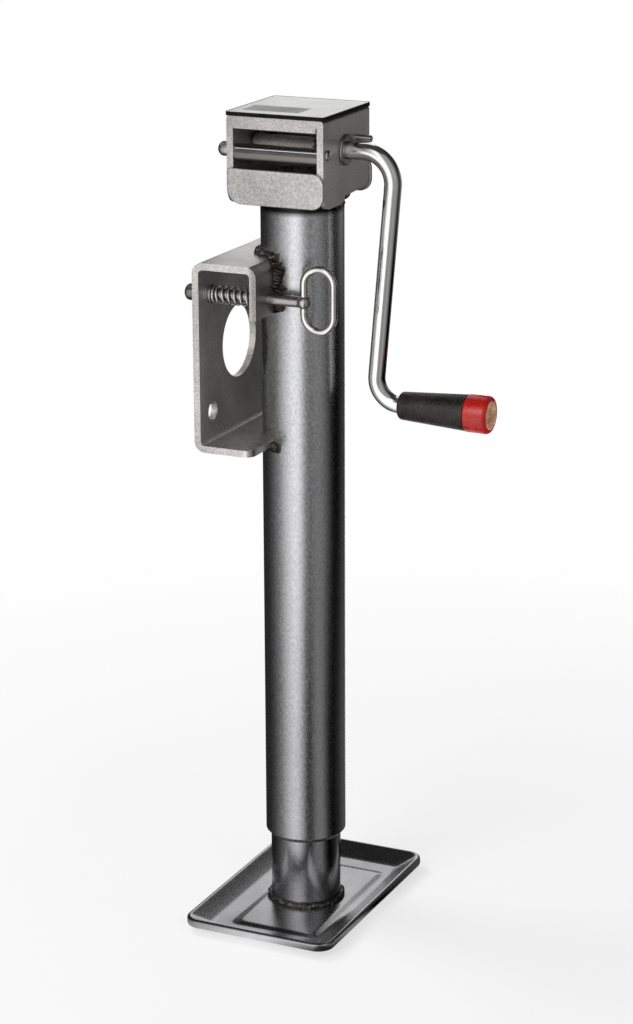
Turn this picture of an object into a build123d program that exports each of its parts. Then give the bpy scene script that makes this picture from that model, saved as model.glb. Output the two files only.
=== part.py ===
from build123d import *
import math
import os

# Telescopic prop stand: a bevel-geared head on a round tube, a screw-driven leg with a pressed foot,
# a bent crank, and a swivel bracket with a sprung lock pin. Millimetres, Z up.
# The foot's underside is Z = 0, the tube's axis is X = Y = 0, the crank's axis runs along X and the
# bracket stands on the -X side.

os.makedirs("parts", exist_ok=True)

# Clearances: gap between parts that move against each other, radial play of a journal in its bush,
# and play of a pin or bolt that stays still in its hole
slide_gap = 0.3
journal_play = 0.05
hole_play = 0.2

# Tubes
tube_radius = 30.0
tube_wall = 3.5
tube_bottom = 57.5
tube_top = 546.0
mouth_turn = 3.0
mouth_rise = 3.45
leg_wall = 3.0
leg_overlap = 46.0
rim_bevel = 0.8
leg_radius = tube_radius - tube_wall - slide_gap
leg_top = tube_top - leg_overlap

# Foot
foot_floor_x = 88.0
foot_floor_y = 153.8
foot_flare = 16.5
foot_height = 11.5
foot_thickness = 3.0
foot_corner = 4.0
foot_rim_round = 0.5
emboss_x = 70.0
emboss_y = 112.0
emboss_height = 1.5
emboss_corner = 5.0
emboss_inset = 1.5
leg_seat = foot_thickness + emboss_height
weld_size = 4.0

# Head
sheet = 3.5
left_side_gap = 7.3
right_side_gap = 0.2
front_margin = 7.7
rear_margin = 11.3
crank_rise = 32.0
head_rise = 28.0
fold_radius = 2.5
cover_thickness = 0.9
gasket_thickness = 1.9
gasket_rim = 0.6
cover_overhang = 0.8
cover_corner = 2.0
cover_round = 0.4
inlay_x = 44.0
inlay_y = 23.0
inlay_offset_x = -9.0
inlay_offset_y = -16.8
inlay_thickness = 0.25
inlay_recess = 0.4
inlay_corner = 1.5
lip_height = 8.8
lip_thickness = 3.0
notch_width = 0.9
notch_height = 3.5
jamb_width = 5.0
jamb_depth = 3.0
side_drop = 5.5
side_front_corner = 11.0
side_rear_corner = 9.5
step_start = -6.0
step_end = 4.0
step_rise = 5.0
rear_rise = 6.5
flap_drop = 4.5
flap_height = 25.1
flap_thickness = 3.0
flap_left_corner = 11.5
flap_right_corner = 9.0
flap_top_corner = 8.5
flap_round = 0.6
flap_left_inset = 1.2
flap_right_reach = 1.0
bearing_plate_thickness = 4.0
head_left = -(tube_radius + left_side_gap + sheet)
head_right = tube_radius + right_side_gap + sheet
left_inner = head_left + sheet
right_inner = head_right - sheet
head_front = -(tube_radius + front_margin)
head_rear = tube_radius + rear_margin
head_depth = head_rear - head_front
head_middle = (head_front + head_rear) / 2
crank_height = tube_top + crank_rise
head_top = crank_height + head_rise
housing_top = head_top - cover_thickness - gasket_thickness
lip_bottom = housing_top - lip_height
side_low = tube_top - side_drop
flap_bottom = tube_top - flap_drop
flap_top = flap_bottom + flap_height

# Crank drive
rod_radius = 6.25
shaft_radius = 5.0
sleeve_radius = 7.3
crank_stub = 38.2
crank_lean = 15.7
crank_throw = 180.5
crank_top_bend = 22.0
crank_low_bend = 18.5
shaft_overhang = 2.6
right_bush_radius = 8.0
left_bush_radius = 7.0
bush_flange = 1.5
bush_flange_step = 2.0
gear_module = 1.8
pinion_teeth = 14
wheel_teeth = 21
face_width = 7.0
pressure_angle = math.radians(20.0)
backlash = 0.25
gear_rim = 2.2
pinion_hub_radius = 8.4
wheel_hub_radius = 10.0
pinion_pin_radius = 1.5
pinion_pin_inset = 5.3
wheel_pin_radius = 2.0
wheel_pin_rise = 4.5
pin_end_inset = 0.4
washer_radius = 11.0
washer_thickness = 1.8
washer_gap = 0.1
clip_radius = 7.6
clip_thickness = 1.2
crank_reach = head_right + crank_stub
crank_foot_x = crank_reach - crank_lean
grip_height = crank_height - crank_throw

# Grip
grip_offset = 20.3
grip_length = 51.8
grip_radius_start = 10.0
grip_radius_end = 13.1
grip_corner = 2.4
cap_radius = 13.5
cap_length = 17.4
cap_bore = 9.6
cap_wall = 3.0
cap_inner_round = 1.0
cap_outer_round = 2.6
cap_disc_radius = 10.6
cap_disc_thickness = 0.8
rod_setback = 7.7
grip_washer_radius = 9.0
grip_washer_thickness = 2.0
grip_start = crank_foot_x + grip_offset
grip_end = grip_start + grip_length
cap_end = grip_end + cap_length
rod_end = cap_end - rod_setback

# Screw, thrust bearing and nut
screw_radius = 7.0
screw_start = 92.5
screw_journal = 6.0
screw_bevel = 1.2
thrust_collar_radius = 13.0
thrust_collar_height = 5.0
race_radius = 16.0
race_thickness = 2.0
ball_radius = 2.4
ball_ring_radius = 12.0
ball_count = 12
cage_radius = 15.0
cage_bore = 8.6
cage_thickness = 1.2
stop_radius = 12.0
stop_height = 6.0
stop_rise = 4.0
nut_length = 30.0
nut_flange_radius = 18.0
nut_flange_height = 6.0
screw_bottom = tube_bottom + screw_start
screw_top = crank_height - sleeve_radius - 2 * slide_gap

# Tie bolts
front_tie_inset = 7.3
front_tie_rise = 0.5
front_tie_radius = 3.0
bolt_head_radius = 5.3
bolt_head_length = 9.5
bolt_dome_height = 4.5
bolt_end_radius = 3.4
bolt_end_length = 2.0
front_spacer_radius = 6.6
front_spacer_wall = 1.4
seam_angle = 128.0
seam_width = 0.7
rear_tie_inset = 21.8
rear_tie_rise = 5.5
rear_tie_radius = 2.5
rear_tie_stub = 11.6
rear_head_radius = 5.0
rear_head_height = 4.0
rear_spacer_radius = 4.5
front_tie_y = head_front + front_tie_inset
front_tie_z = crank_height + front_tie_rise
front_spacer_z = front_tie_z - (front_spacer_radius - front_spacer_wall - front_tie_radius - journal_play)
rear_tie_y = head_rear - rear_tie_inset
rear_tie_z = crank_height + rear_tie_rise
rear_tie_end = head_right + rear_tie_stub

# Swivel bracket
bracket_plate = 5.0
bracket_stand_off = 26.3
bracket_margin = 34.0
bracket_drop = 112.5
bracket_height = 138.0
bracket_bend = 5.5
bracket_corner = 7.0
tab_inset = 6.3
tab_root = 12.0
tab_rise = 31.0
pivot_radius = 27.0
lock_offset = 43.0
lock_margin = 14.0
lock_hole_radius = 7.0
bracket_bead = 3.2
bead_inset = 1.0
tab_bead = 3.0
tab_bead_end = 3.4
tab_bead_offset = 0.6
bracket_left = -(tube_radius + bracket_stand_off)
bracket_inner = bracket_left + bracket_plate
bracket_right = -tab_inset
bracket_half_width = tube_radius + bracket_margin
bracket_middle = tube_top - bracket_drop
bracket_top = bracket_middle + bracket_height / 2
bracket_bottom = bracket_middle - bracket_height / 2
tab_left = bracket_right - bracket_plate
tab_bottom = bracket_middle + tab_rise

# Lock pin
pin_radius = 6.0
pin_guide_radius = 6.2
pin_guide_end = 0.4
pin_reach = 15.2
pin_nose = 4.0
pin_rod_radius = 4.0
rod_tail = 27.6
collar_radius = 7.0
collar_thickness = 1.8
wire = 2.0
spring_radius = 5.9
spring_turns = 8.5
ring_wire = 2.65
ring_width = 22.9
ring_height = 44.6
ring_rise = 2.2
eye_radius = 5.0
lock_y = -(tube_radius + lock_margin)
lock_z = bracket_middle + lock_offset
shoulder = bracket_inner + slide_gap
pin_tip = bracket_left - pin_reach
ring_x = bracket_right + rod_tail


def dome_middle(end, base, height, axis_height):
    """Middle point of the arc of a spherical dome that starts at end and widens along +X."""
    ball = (base**2 + height**2) / (2 * height)
    half = math.atan2(base, ball - height) / 2
    return (end + ball - ball * math.cos(half), axis_height + ball * math.sin(half))


def bevel_gear(teeth, mate_teeth, bore, hub_radius, hub_end, turn):
    """Straight bevel gear about Z, with its pitch cone's apex at the origin and its body below."""
    radius = gear_module * teeth / 2
    drop = gear_module * mate_teeth / 2
    cone = math.atan2(radius, drop)
    shrink = 1 - face_width / math.hypot(radius, drop)
    virtual = radius / math.cos(cone)
    base = virtual * math.cos(pressure_angle)
    tip = 1.0 * gear_module
    root = 1.25 * gear_module
    out = (math.cos(cone), math.sin(cone))

    def half_width(r):
        """Half of a tooth's width at radius r of the back cone's flat development."""
        flank = math.acos(min(1.0, base / r))
        spread = math.tan(pressure_angle) - pressure_angle - math.tan(flank) + flank
        angle = math.pi * math.cos(cone) / (2 * teeth) - backlash / (2 * virtual) + spread
        return r * math.sin(angle)

    heights = [-root - 0.4, -root, -0.5 * root, 0.0, 0.5 * tip, tip]
    side = [(h, half_width(virtual + max(h, -root))) for h in heights]
    outline = side + [(h, -w) for h, w in reversed(side)]
    with BuildPart() as tooth:
        for scale in (1.0, shrink):
            back_cone = Plane(
                origin=(scale * radius, 0, -scale * drop),
                x_dir=(out[0], 0, out[1]),
                z_dir=(-out[1], 0, out[0]),
            )
            with BuildSketch(back_cone):
                with BuildLine():
                    Polyline(*[(scale * h, scale * w) for h, w in outline], close=True)
                make_face()
        loft(ruled=True)

    def point(scale, height):
        return (scale * (radius + height * out[0]), scale * (-drop + height * out[1]))

    inner = point(shrink, -root)
    back = point(1.0, -root - gear_rim)
    with BuildPart() as gear:
        with BuildSketch(Plane.XZ):
            with BuildLine():
                Polyline(
                    (bore, inner[1]),
                    inner,
                    point(1.0, -root),
                    back,
                    (hub_radius, back[1]),
                    (hub_radius, hub_end),
                    (bore, hub_end),
                    close=True,
                )
            make_face()
        revolve(axis=Axis.Z)
        with PolarLocations(0, teeth, start_angle=turn):
            add(tooth.part)
    return gear.part


# Round tube that carries the head and the bracket, with its lower rim turned in
with BuildPart() as outer_tube:
    with BuildSketch(Plane.XZ):
        with BuildLine():
            Polyline(
                (tube_radius - tube_wall, tube_bottom),
                (tube_radius - mouth_turn, tube_bottom),
                (tube_radius, tube_bottom + mouth_rise),
                (tube_radius, tube_top),
                (tube_radius - tube_wall, tube_top),
                close=True,
            )
        make_face()
    revolve(axis=Axis.Z)
outer_tube.part.label = "outer_tube"
export_step(outer_tube.part, "parts/outer_tube.step")

# Sliding leg
with BuildPart() as leg_tube:
    with BuildSketch(Plane.XY.offset(leg_seat)):
        Circle(leg_radius)
        Circle(leg_radius - leg_wall, mode=Mode.SUBTRACT)
    extrude(amount=leg_top - leg_seat)
    chamfer(leg_tube.edges().group_by(Axis.Z)[-1], length=rim_bevel)
leg_tube.part.label = "leg_tube"
export_step(leg_tube.part, "parts/leg_tube.step")

# Pressed foot: a shallow pan with flared sides and a raised middle
flare_length = math.hypot(foot_flare, foot_height)
wall_side = foot_thickness * foot_height / flare_length
wall_lift = foot_thickness * foot_flare / flare_length
flare_slope = foot_flare / foot_height
floor_inset = -wall_side + (foot_thickness - wall_lift) * flare_slope
rim_inset = -wall_side + (foot_height - wall_lift) * flare_slope
with BuildPart() as foot_plate:
    with BuildSketch(Plane.XY):
        RectangleRounded(foot_floor_x, foot_floor_y, foot_corner)
    with BuildSketch(Plane.XY.offset(foot_height)):
        RectangleRounded(foot_floor_x + 2 * foot_flare, foot_floor_y + 2 * foot_flare, 3 * foot_corner)
    loft()
    with BuildSketch(Plane.XY.offset(foot_thickness)):
        RectangleRounded(foot_floor_x + 2 * floor_inset, foot_floor_y + 2 * floor_inset, foot_corner)
    with BuildSketch(Plane.XY.offset(foot_height)):
        RectangleRounded(foot_floor_x + 2 * rim_inset, foot_floor_y + 2 * rim_inset, 2.4 * foot_corner)
    loft(mode=Mode.SUBTRACT)
    fillet(foot_plate.edges().group_by(Axis.Z)[-1], radius=foot_rim_round)
    with BuildSketch(Plane.XY.offset(foot_thickness)):
        RectangleRounded(emboss_x, emboss_y, emboss_corner)
    extrude(amount=emboss_height, taper=35)
    with BuildSketch(Plane.XY):
        RectangleRounded(emboss_x - 2 * emboss_inset, emboss_y - 2 * emboss_inset, emboss_corner - 1)
    extrude(amount=emboss_height, taper=35, mode=Mode.SUBTRACT)
foot_plate.part.label = "foot_plate"
export_step(foot_plate.part, "parts/foot_plate.step")

# Bead that joins the leg to the foot
with BuildPart() as foot_weld:
    with BuildSketch(Plane.XZ):
        with BuildLine():
            Line((leg_radius, leg_seat), (leg_radius + weld_size, leg_seat))
            ThreePointArc(
                (leg_radius + weld_size, leg_seat),
                (leg_radius + 0.78 * weld_size, leg_seat + 0.72 * weld_size),
                (leg_radius, leg_seat + weld_size),
            )
            Line((leg_radius, leg_seat + weld_size), (leg_radius, leg_seat))
        make_face()
    revolve(axis=Axis.Z)
foot_weld.part.label = "foot_weld"
export_step(foot_weld.part, "parts/foot_weld.step")

# Folded housing: top, two sides with jambs at their front edges, and two short lips
with BuildPart() as head_housing:
    with BuildSketch(Plane.XZ.offset(-head_rear)):
        with BuildLine():
            Polyline(
                (head_left, side_low),
                (head_left, housing_top),
                (head_right, housing_top),
                (head_right, side_low),
                (right_inner, side_low),
                (right_inner, housing_top - sheet),
                (left_inner, housing_top - sheet),
                (left_inner, side_low),
                close=True,
            )
        make_face()
    extrude(amount=head_depth)
    for x, align_x in ((head_left, Align.MIN), (head_right, Align.MAX)):
        with Locations((x, head_front, tube_top + bearing_plate_thickness)):
            Box(
                jamb_width,
                jamb_depth,
                housing_top - tube_top - bearing_plate_thickness,
                align=(align_x, Align.MIN, Align.MIN),
            )
    fillet(head_housing.edges().filter_by(Axis.Y).group_by(Axis.Z)[-1], radius=fold_radius)
    with BuildSketch(Plane.YZ.offset(head_left)) as side_shape:
        with BuildLine():
            Polyline(
                (head_front, housing_top),
                (head_front, side_low),
                (step_start, side_low),
                (step_end, side_low + step_rise),
                (head_rear, side_low + rear_rise),
                (head_rear, housing_top),
                close=True,
            )
        make_face()
        rear_corner = side_shape.vertices().sort_by_distance((head_rear, side_low + rear_rise))[0]
        fillet(rear_corner, radius=side_rear_corner)
        front_corner = side_shape.vertices().sort_by_distance((head_front, side_low))[0]
        fillet(front_corner, radius=side_front_corner)
    extrude(amount=head_right - head_left, mode=Mode.INTERSECT)
    for lip_left, lip_right, lip_y, align_y in (
        (head_left + jamb_width, head_right - jamb_width, head_front, Align.MIN),
        (left_inner, right_inner, head_rear, Align.MAX),
    ):
        with Locations(((lip_left + lip_right) / 2, lip_y, housing_top)):
            Box(
                lip_right - lip_left,
                lip_thickness,
                lip_height,
                align=(Align.CENTER, align_y, Align.MAX),
            )
        with Locations((lip_right, lip_y, lip_bottom)):
            Box(
                notch_width,
                lip_thickness,
                notch_height,
                align=(Align.MAX, align_y, Align.MIN),
                mode=Mode.SUBTRACT,
            )
    for x, radius in ((right_inner, right_bush_radius), (head_left, left_bush_radius)):
        with Locations(Location((x, 0, crank_height), (0, 90, 0))):
            Cylinder(radius, sheet, align=(Align.CENTER, Align.CENTER, Align.MIN), mode=Mode.SUBTRACT)
    for y, z, radius in (
        (front_tie_y, front_tie_z, front_tie_radius),
        (rear_tie_y, rear_tie_z, rear_tie_radius),
    ):
        with Locations(Location((head_left, y, z), (0, 90, 0))):
            Cylinder(
                radius,
                head_right - head_left,
                align=(Align.CENTER, Align.CENTER, Align.MIN),
                mode=Mode.SUBTRACT,
            )
head_housing.part.label = "head_housing"
export_step(head_housing.part, "parts/head_housing.step")

# Dark gasket tray, the cover let into it and the plain inlay in the cover's recess
cover_middle = (head_left + head_right) / 2
gasket_x = head_right - head_left + 2 * cover_overhang
gasket_y = head_depth + 2 * cover_overhang
cover_x = gasket_x - 2 * gasket_rim
cover_y = gasket_y - 2 * gasket_rim
inlay_middle = (cover_middle + inlay_offset_x, head_middle + inlay_offset_y)
with BuildPart() as cover_gasket:
    with BuildSketch(Plane.XY.offset(housing_top)):
        with Locations((cover_middle, head_middle)):
            RectangleRounded(gasket_x, gasket_y, cover_corner + gasket_rim)
    extrude(amount=gasket_thickness + cover_thickness)
    with BuildSketch(Plane.XY.offset(head_top)):
        with Locations((cover_middle, head_middle)):
            RectangleRounded(cover_x, cover_y, cover_corner)
    extrude(amount=-cover_thickness, mode=Mode.SUBTRACT)
cover_gasket.part.label = "cover_gasket"
export_step(cover_gasket.part, "parts/cover_gasket.step")

with BuildPart() as head_cover:
    with BuildSketch(Plane.XY.offset(head_top - cover_thickness)):
        with Locations((cover_middle, head_middle)):
            RectangleRounded(cover_x, cover_y, cover_corner)
    extrude(amount=cover_thickness)
    fillet(head_cover.edges().group_by(Axis.Z)[-1], radius=cover_round)
    with BuildSketch(Plane.XY.offset(head_top)):
        with Locations(inlay_middle):
            RectangleRounded(inlay_x, inlay_y, inlay_corner)
    extrude(amount=-inlay_recess, mode=Mode.SUBTRACT)
head_cover.part.label = "head_cover"
export_step(head_cover.part, "parts/head_cover.step")

with BuildPart() as cover_inlay:
    with BuildSketch(Plane.XY.offset(head_top - inlay_recess)):
        with Locations(inlay_middle):
            RectangleRounded(inlay_x - 2 * hole_play, inlay_y - 2 * hole_play, inlay_corner - hole_play)
    extrude(amount=inlay_thickness)
cover_inlay.part.label = "cover_inlay"
export_step(cover_inlay.part, "parts/cover_inlay.step")

# Guard flaps in front of and behind the gears
flap_left = head_left + flap_left_inset
flap_right = head_right + flap_right_reach
flap_middle = (flap_left + flap_right) / 2
with BuildPart() as front_flap:
    with BuildSketch(Plane.XZ.offset(-head_front)) as flap_shape:
        with Locations((flap_middle, (flap_bottom + flap_top) / 2)):
            Rectangle(flap_right - flap_left, flap_top - flap_bottom)
        for corner, radius in (
            ((flap_left, flap_bottom), flap_left_corner),
            ((flap_right, flap_bottom), flap_right_corner),
            ((flap_right, flap_top), flap_top_corner),
        ):
            fillet(flap_shape.vertices().sort_by_distance(corner)[0], radius=radius)
    extrude(amount=flap_thickness)
    fillet(front_flap.edges().group_by(Axis.Y)[0], radius=flap_round)
front_flap.part.label = "front_flap"
export_step(front_flap.part, "parts/front_flap.step")

with BuildPart() as rear_flap:
    mirror(front_flap.part, about=Plane.XZ.offset(-head_middle))
rear_flap.part.label = "rear_flap"
export_step(rear_flap.part, "parts/rear_flap.step")

# Plate that closes the tube and carries the screw's thrust
with BuildPart() as bearing_plate:
    with BuildSketch(Plane.XY.offset(tube_top)):
        with Locations(((left_inner + right_inner) / 2, head_middle)):
            Rectangle(right_inner - left_inner, head_depth)
        Circle(screw_journal + slide_gap, mode=Mode.SUBTRACT)
    extrude(amount=bearing_plate_thickness)
bearing_plate.part.label = "bearing_plate"
export_step(bearing_plate.part, "parts/bearing_plate.step")

# Bead under the bearing plate, round the tube's top
with BuildPart() as tube_weld:
    with BuildSketch(Plane.XZ):
        with BuildLine():
            Polyline(
                (tube_radius, tube_top),
                (tube_radius + weld_size, tube_top),
                (tube_radius, tube_top - weld_size),
                close=True,
            )
        make_face()
    revolve(axis=Axis.Z)
    split(bisect_by=Plane.YZ.offset(right_inner), keep=Keep.BOTTOM)
    add(head_housing.part, mode=Mode.SUBTRACT)
tube_weld.part.label = "tube_weld"
export_step(tube_weld.part, "parts/tube_weld.step")

# Front tie bolt: a domed head on the left and a flat riveted end on the right
head_end = head_left - bolt_head_length
bolt_dome = head_end + bolt_dome_height
bolt_end = head_right + bolt_end_length
with BuildPart() as front_tie_bolt:
    with BuildSketch(Plane.XZ.offset(-front_tie_y)):
        with BuildLine():
            Line((head_end, front_tie_z), (bolt_end, front_tie_z))
            Polyline(
                (bolt_end, front_tie_z),
                (bolt_end, front_tie_z + bolt_end_radius),
                (head_right, front_tie_z + bolt_end_radius),
                (head_right, front_tie_z + front_tie_radius),
                (head_left, front_tie_z + front_tie_radius),
                (head_left, front_tie_z + bolt_head_radius),
                (bolt_dome, front_tie_z + bolt_head_radius),
            )
            ThreePointArc(
                (bolt_dome, front_tie_z + bolt_head_radius),
                dome_middle(head_end, bolt_head_radius, bolt_dome_height, front_tie_z),
                (head_end, front_tie_z),
            )
        make_face()
    revolve(axis=Axis((0, front_tie_y, front_tie_z), (1, 0, 0)))
front_tie_bolt.part.label = "front_tie_bolt"
export_step(front_tie_bolt.part, "parts/front_tie_bolt.step")

# Rolled spacer that hangs on the front bolt between the jambs, with a seam along it
spacer_left = head_left + jamb_width
with BuildPart() as front_spacer:
    with BuildSketch(Plane.YZ.offset(spacer_left)):
        with Locations((front_tie_y, front_spacer_z)):
            Circle(front_spacer_radius)
            Circle(front_spacer_radius - front_spacer_wall, mode=Mode.SUBTRACT)
            with Locations(Rotation(0, 0, seam_angle)):
                Rectangle(
                    2 * front_spacer_radius,
                    seam_width,
                    align=(Align.MIN, Align.CENTER),
                    mode=Mode.SUBTRACT,
                )
    extrude(amount=head_right - jamb_width - spacer_left)
front_spacer.part.label = "front_spacer"
export_step(front_spacer.part, "parts/front_spacer.step")

# Rear tie bolt, which stands out on the crank's side, and its spacer
with BuildPart() as rear_tie_bolt:
    with BuildSketch(Plane.YZ.offset(head_left)):
        with Locations((rear_tie_y, rear_tie_z)):
            Circle(rear_tie_radius)
    extrude(amount=rear_tie_end - head_left)
    fillet(rear_tie_bolt.edges().group_by(Axis.X)[-1], radius=rear_tie_radius / 4)
    with BuildSketch(Plane.YZ.offset(head_left)):
        with Locations((rear_tie_y, rear_tie_z)):
            RegularPolygon(rear_head_radius, 6)
    extrude(amount=-rear_head_height)
rear_tie_bolt.part.label = "rear_tie_bolt"
export_step(rear_tie_bolt.part, "parts/rear_tie_bolt.step")

with BuildPart() as rear_spacer:
    with BuildSketch(Plane.YZ.offset(left_inner)):
        with Locations((rear_tie_y, rear_tie_z)):
            Circle(rear_spacer_radius)
            Circle(rear_tie_radius + hole_play, mode=Mode.SUBTRACT)
    extrude(amount=right_inner - left_inner)
rear_spacer.part.label = "rear_spacer"
export_step(rear_spacer.part, "parts/rear_spacer.step")

# Flanged bushes for the crank's shaft
with BuildPart() as right_bush:
    with BuildSketch(Plane.YZ.offset(right_inner)):
        with Locations((0, crank_height)):
            Circle(right_bush_radius)
            Circle(rod_radius + journal_play, mode=Mode.SUBTRACT)
    extrude(amount=sheet)
    with BuildSketch(Plane.YZ.offset(right_inner)):
        with Locations((0, crank_height)):
            Circle(right_bush_radius + bush_flange_step)
            Circle(rod_radius + journal_play, mode=Mode.SUBTRACT)
    extrude(amount=-bush_flange)
right_bush.part.label = "right_bush"
export_step(right_bush.part, "parts/right_bush.step")

with BuildPart() as left_bush:
    with BuildSketch(Plane.YZ.offset(head_left)):
        with Locations((0, crank_height)):
            Circle(left_bush_radius)
            Circle(shaft_radius + journal_play, mode=Mode.SUBTRACT)
    extrude(amount=sheet)
    with BuildSketch(Plane.YZ.offset(left_inner)):
        with Locations((0, crank_height)):
            Circle(left_bush_radius + bush_flange_step)
            Circle(shaft_radius + journal_play, mode=Mode.SUBTRACT)
    extrude(amount=bush_flange)
left_bush.part.label = "left_bush"
export_step(left_bush.part, "parts/left_bush.step")

# Bevel gears that meet at the crank's height
rod_start = right_inner - bush_flange - hole_play
hub_end_pinion = -(right_inner - bush_flange - slide_gap)
pinion_shape = bevel_gear(
    pinion_teeth, wheel_teeth, shaft_radius, pinion_hub_radius, hub_end_pinion, 0.0
)
wheel_bottom = tube_top + bearing_plate_thickness + slide_gap
wheel_shape = bevel_gear(
    wheel_teeth,
    pinion_teeth,
    screw_journal,
    wheel_hub_radius,
    wheel_bottom - crank_height,
    180.0 / wheel_teeth,
)
pinion_pin_x = right_inner - pinion_pin_inset
pinion_pin_place = Location((pinion_pin_x, 0, crank_height), (90, 0, 0))
wheel_pin_place = Location((0, 0, wheel_bottom + wheel_pin_rise), (90, 0, 0))
with BuildPart() as pinion:
    add(pinion_shape.rotate(Axis.Y, -90).translate((0, 0, crank_height)))
    with Locations(pinion_pin_place):
        Cylinder(pinion_pin_radius, 4 * pinion_hub_radius, mode=Mode.SUBTRACT)
pinion.part.label = "pinion"
export_step(pinion.part, "parts/pinion.step")

with BuildPart() as screw_wheel:
    add(wheel_shape.translate((0, 0, crank_height)))
    with Locations(wheel_pin_place):
        Cylinder(wheel_pin_radius, 4 * wheel_hub_radius, mode=Mode.SUBTRACT)
screw_wheel.part.label = "screw_wheel"
export_step(screw_wheel.part, "parts/screw_wheel.step")

with BuildPart() as pinion_pin:
    with Locations(pinion_pin_place):
        Cylinder(pinion_pin_radius, 2 * (pinion_hub_radius - pin_end_inset))
pinion_pin.part.label = "pinion_pin"
export_step(pinion_pin.part, "parts/pinion_pin.step")

with BuildPart() as wheel_pin:
    with Locations(wheel_pin_place):
        Cylinder(wheel_pin_radius, 2 * (wheel_hub_radius - pin_end_inset))
wheel_pin.part.label = "wheel_pin"
export_step(wheel_pin.part, "parts/wheel_pin.step")

# Sleeve that keeps the pinion in mesh, between the left bush and the pinion's teeth
sleeve_start = left_inner + bush_flange + slide_gap
sleeve_end = pinion.part.bounding_box().min.X
with BuildPart() as shaft_sleeve:
    with BuildSketch(Plane.YZ.offset(sleeve_start)):
        with Locations((0, crank_height)):
            Circle(sleeve_radius)
            Circle(shaft_radius, mode=Mode.SUBTRACT)
    extrude(amount=sleeve_end - sleeve_start)
shaft_sleeve.part.label = "shaft_sleeve"
export_step(shaft_sleeve.part, "parts/shaft_sleeve.step")

# Thrust bearing under the plate
upper_race_bottom = tube_top - race_thickness
lower_race_top = upper_race_bottom - 2 * ball_radius - 2 * journal_play
collar_top = lower_race_top - race_thickness
with BuildPart() as upper_race:
    with BuildSketch(Plane.XY.offset(upper_race_bottom)):
        Circle(race_radius)
        Circle(screw_journal + slide_gap, mode=Mode.SUBTRACT)
    extrude(amount=race_thickness)
upper_race.part.label = "upper_race"
export_step(upper_race.part, "parts/upper_race.step")

ball_height = (upper_race_bottom + lower_race_top) / 2
with BuildPart() as ball_cage:
    with BuildSketch(Plane.XY.offset(ball_height - cage_thickness / 2)):
        Circle(cage_radius)
        Circle(cage_bore, mode=Mode.SUBTRACT)
    extrude(amount=cage_thickness)
    with PolarLocations(ball_ring_radius, ball_count):
        with Locations((0, 0, ball_height)):
            Sphere(ball_radius)
ball_cage.part.label = "ball_cage"
export_step(ball_cage.part, "parts/ball_cage.step")

with BuildPart() as lower_race:
    with BuildSketch(Plane.XY.offset(collar_top)):
        Circle(race_radius)
        Circle(screw_journal, mode=Mode.SUBTRACT)
    extrude(amount=race_thickness)
lower_race.part.label = "lower_race"
export_step(lower_race.part, "parts/lower_race.step")

# Screw with its thrust collar, and the stop at its lower end
with BuildPart() as screw:
    with BuildSketch(Plane.XY.offset(screw_bottom)):
        Circle(screw_radius)
    extrude(amount=collar_top - screw_bottom)
    with BuildSketch(Plane.XY.offset(collar_top - thrust_collar_height)):
        Circle(thrust_collar_radius)
    extrude(amount=thrust_collar_height)
    with BuildSketch(Plane.XY.offset(collar_top)):
        Circle(screw_journal)
    extrude(amount=screw_top - collar_top)
    chamfer(screw.edges().group_by(Axis.Z)[0], length=screw_bevel)
    chamfer(screw.edges().group_by(Axis.Z)[-1], length=rim_bevel)
    with Locations(wheel_pin_place):
        Cylinder(wheel_pin_radius, 4 * screw_journal, mode=Mode.SUBTRACT)
screw.part.label = "screw"
export_step(screw.part, "parts/screw.step")

with BuildPart() as screw_stop:
    with BuildSketch(Plane.XY.offset(screw_bottom + stop_rise)):
        Circle(stop_radius)
        Circle(screw_radius, mode=Mode.SUBTRACT)
    extrude(amount=stop_height)
    fillet(screw_stop.edges().group_by(Axis.Z)[0], radius=rim_bevel)
screw_stop.part.label = "screw_stop"
export_step(screw_stop.part, "parts/screw_stop.step")

# Nut in the top of the leg
with BuildPart() as screw_nut:
    with BuildSketch(Plane.XY.offset(leg_top - nut_length)):
        Circle(leg_radius - leg_wall)
        Circle(screw_radius + slide_gap, mode=Mode.SUBTRACT)
    extrude(amount=nut_length)
    with BuildSketch(Plane.XY.offset(leg_top)):
        Circle(nut_flange_radius)
        Circle(screw_radius + slide_gap, mode=Mode.SUBTRACT)
    extrude(amount=nut_flange_height)
screw_nut.part.label = "screw_nut"
export_step(screw_nut.part, "parts/screw_nut.step")

# Bent crank, turned down to a thinner shaft inside the head
with BuildPart() as crank_rod:
    with BuildLine() as crank_path:
        FilletPolyline(
            (rod_start, 0, crank_height),
            (crank_reach, 0, crank_height),
            (crank_foot_x, 0, grip_height),
            (rod_end, 0, grip_height),
            radius=(crank_top_bend, crank_low_bend),
        )
    with BuildSketch(Plane.YZ.offset(rod_start)):
        with Locations((0, crank_height)):
            Circle(rod_radius)
    sweep()
    with BuildSketch(Plane.YZ.offset(head_left - shaft_overhang)):
        with Locations((0, crank_height)):
            Circle(shaft_radius)
    extrude(amount=rod_start - head_left + shaft_overhang)
    with Locations(pinion_pin_place):
        Cylinder(pinion_pin_radius, 4 * shaft_radius, mode=Mode.SUBTRACT)
crank_rod.part.label = "crank_rod"
export_step(crank_rod.part, "parts/crank_rod.step")

with BuildPart() as crank_washer:
    with BuildSketch(Plane.YZ.offset(head_right + washer_gap)):
        with Locations((0, crank_height)):
            Circle(washer_radius)
            Circle(rod_radius, mode=Mode.SUBTRACT)
    extrude(amount=washer_thickness)
    outer_rim = crank_washer.edges().group_by(Axis.X)[-1].sort_by(SortBy.RADIUS)[-1]
    fillet(outer_rim, radius=washer_thickness / 3)
crank_washer.part.label = "crank_washer"
export_step(crank_washer.part, "parts/crank_washer.step")

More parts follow.
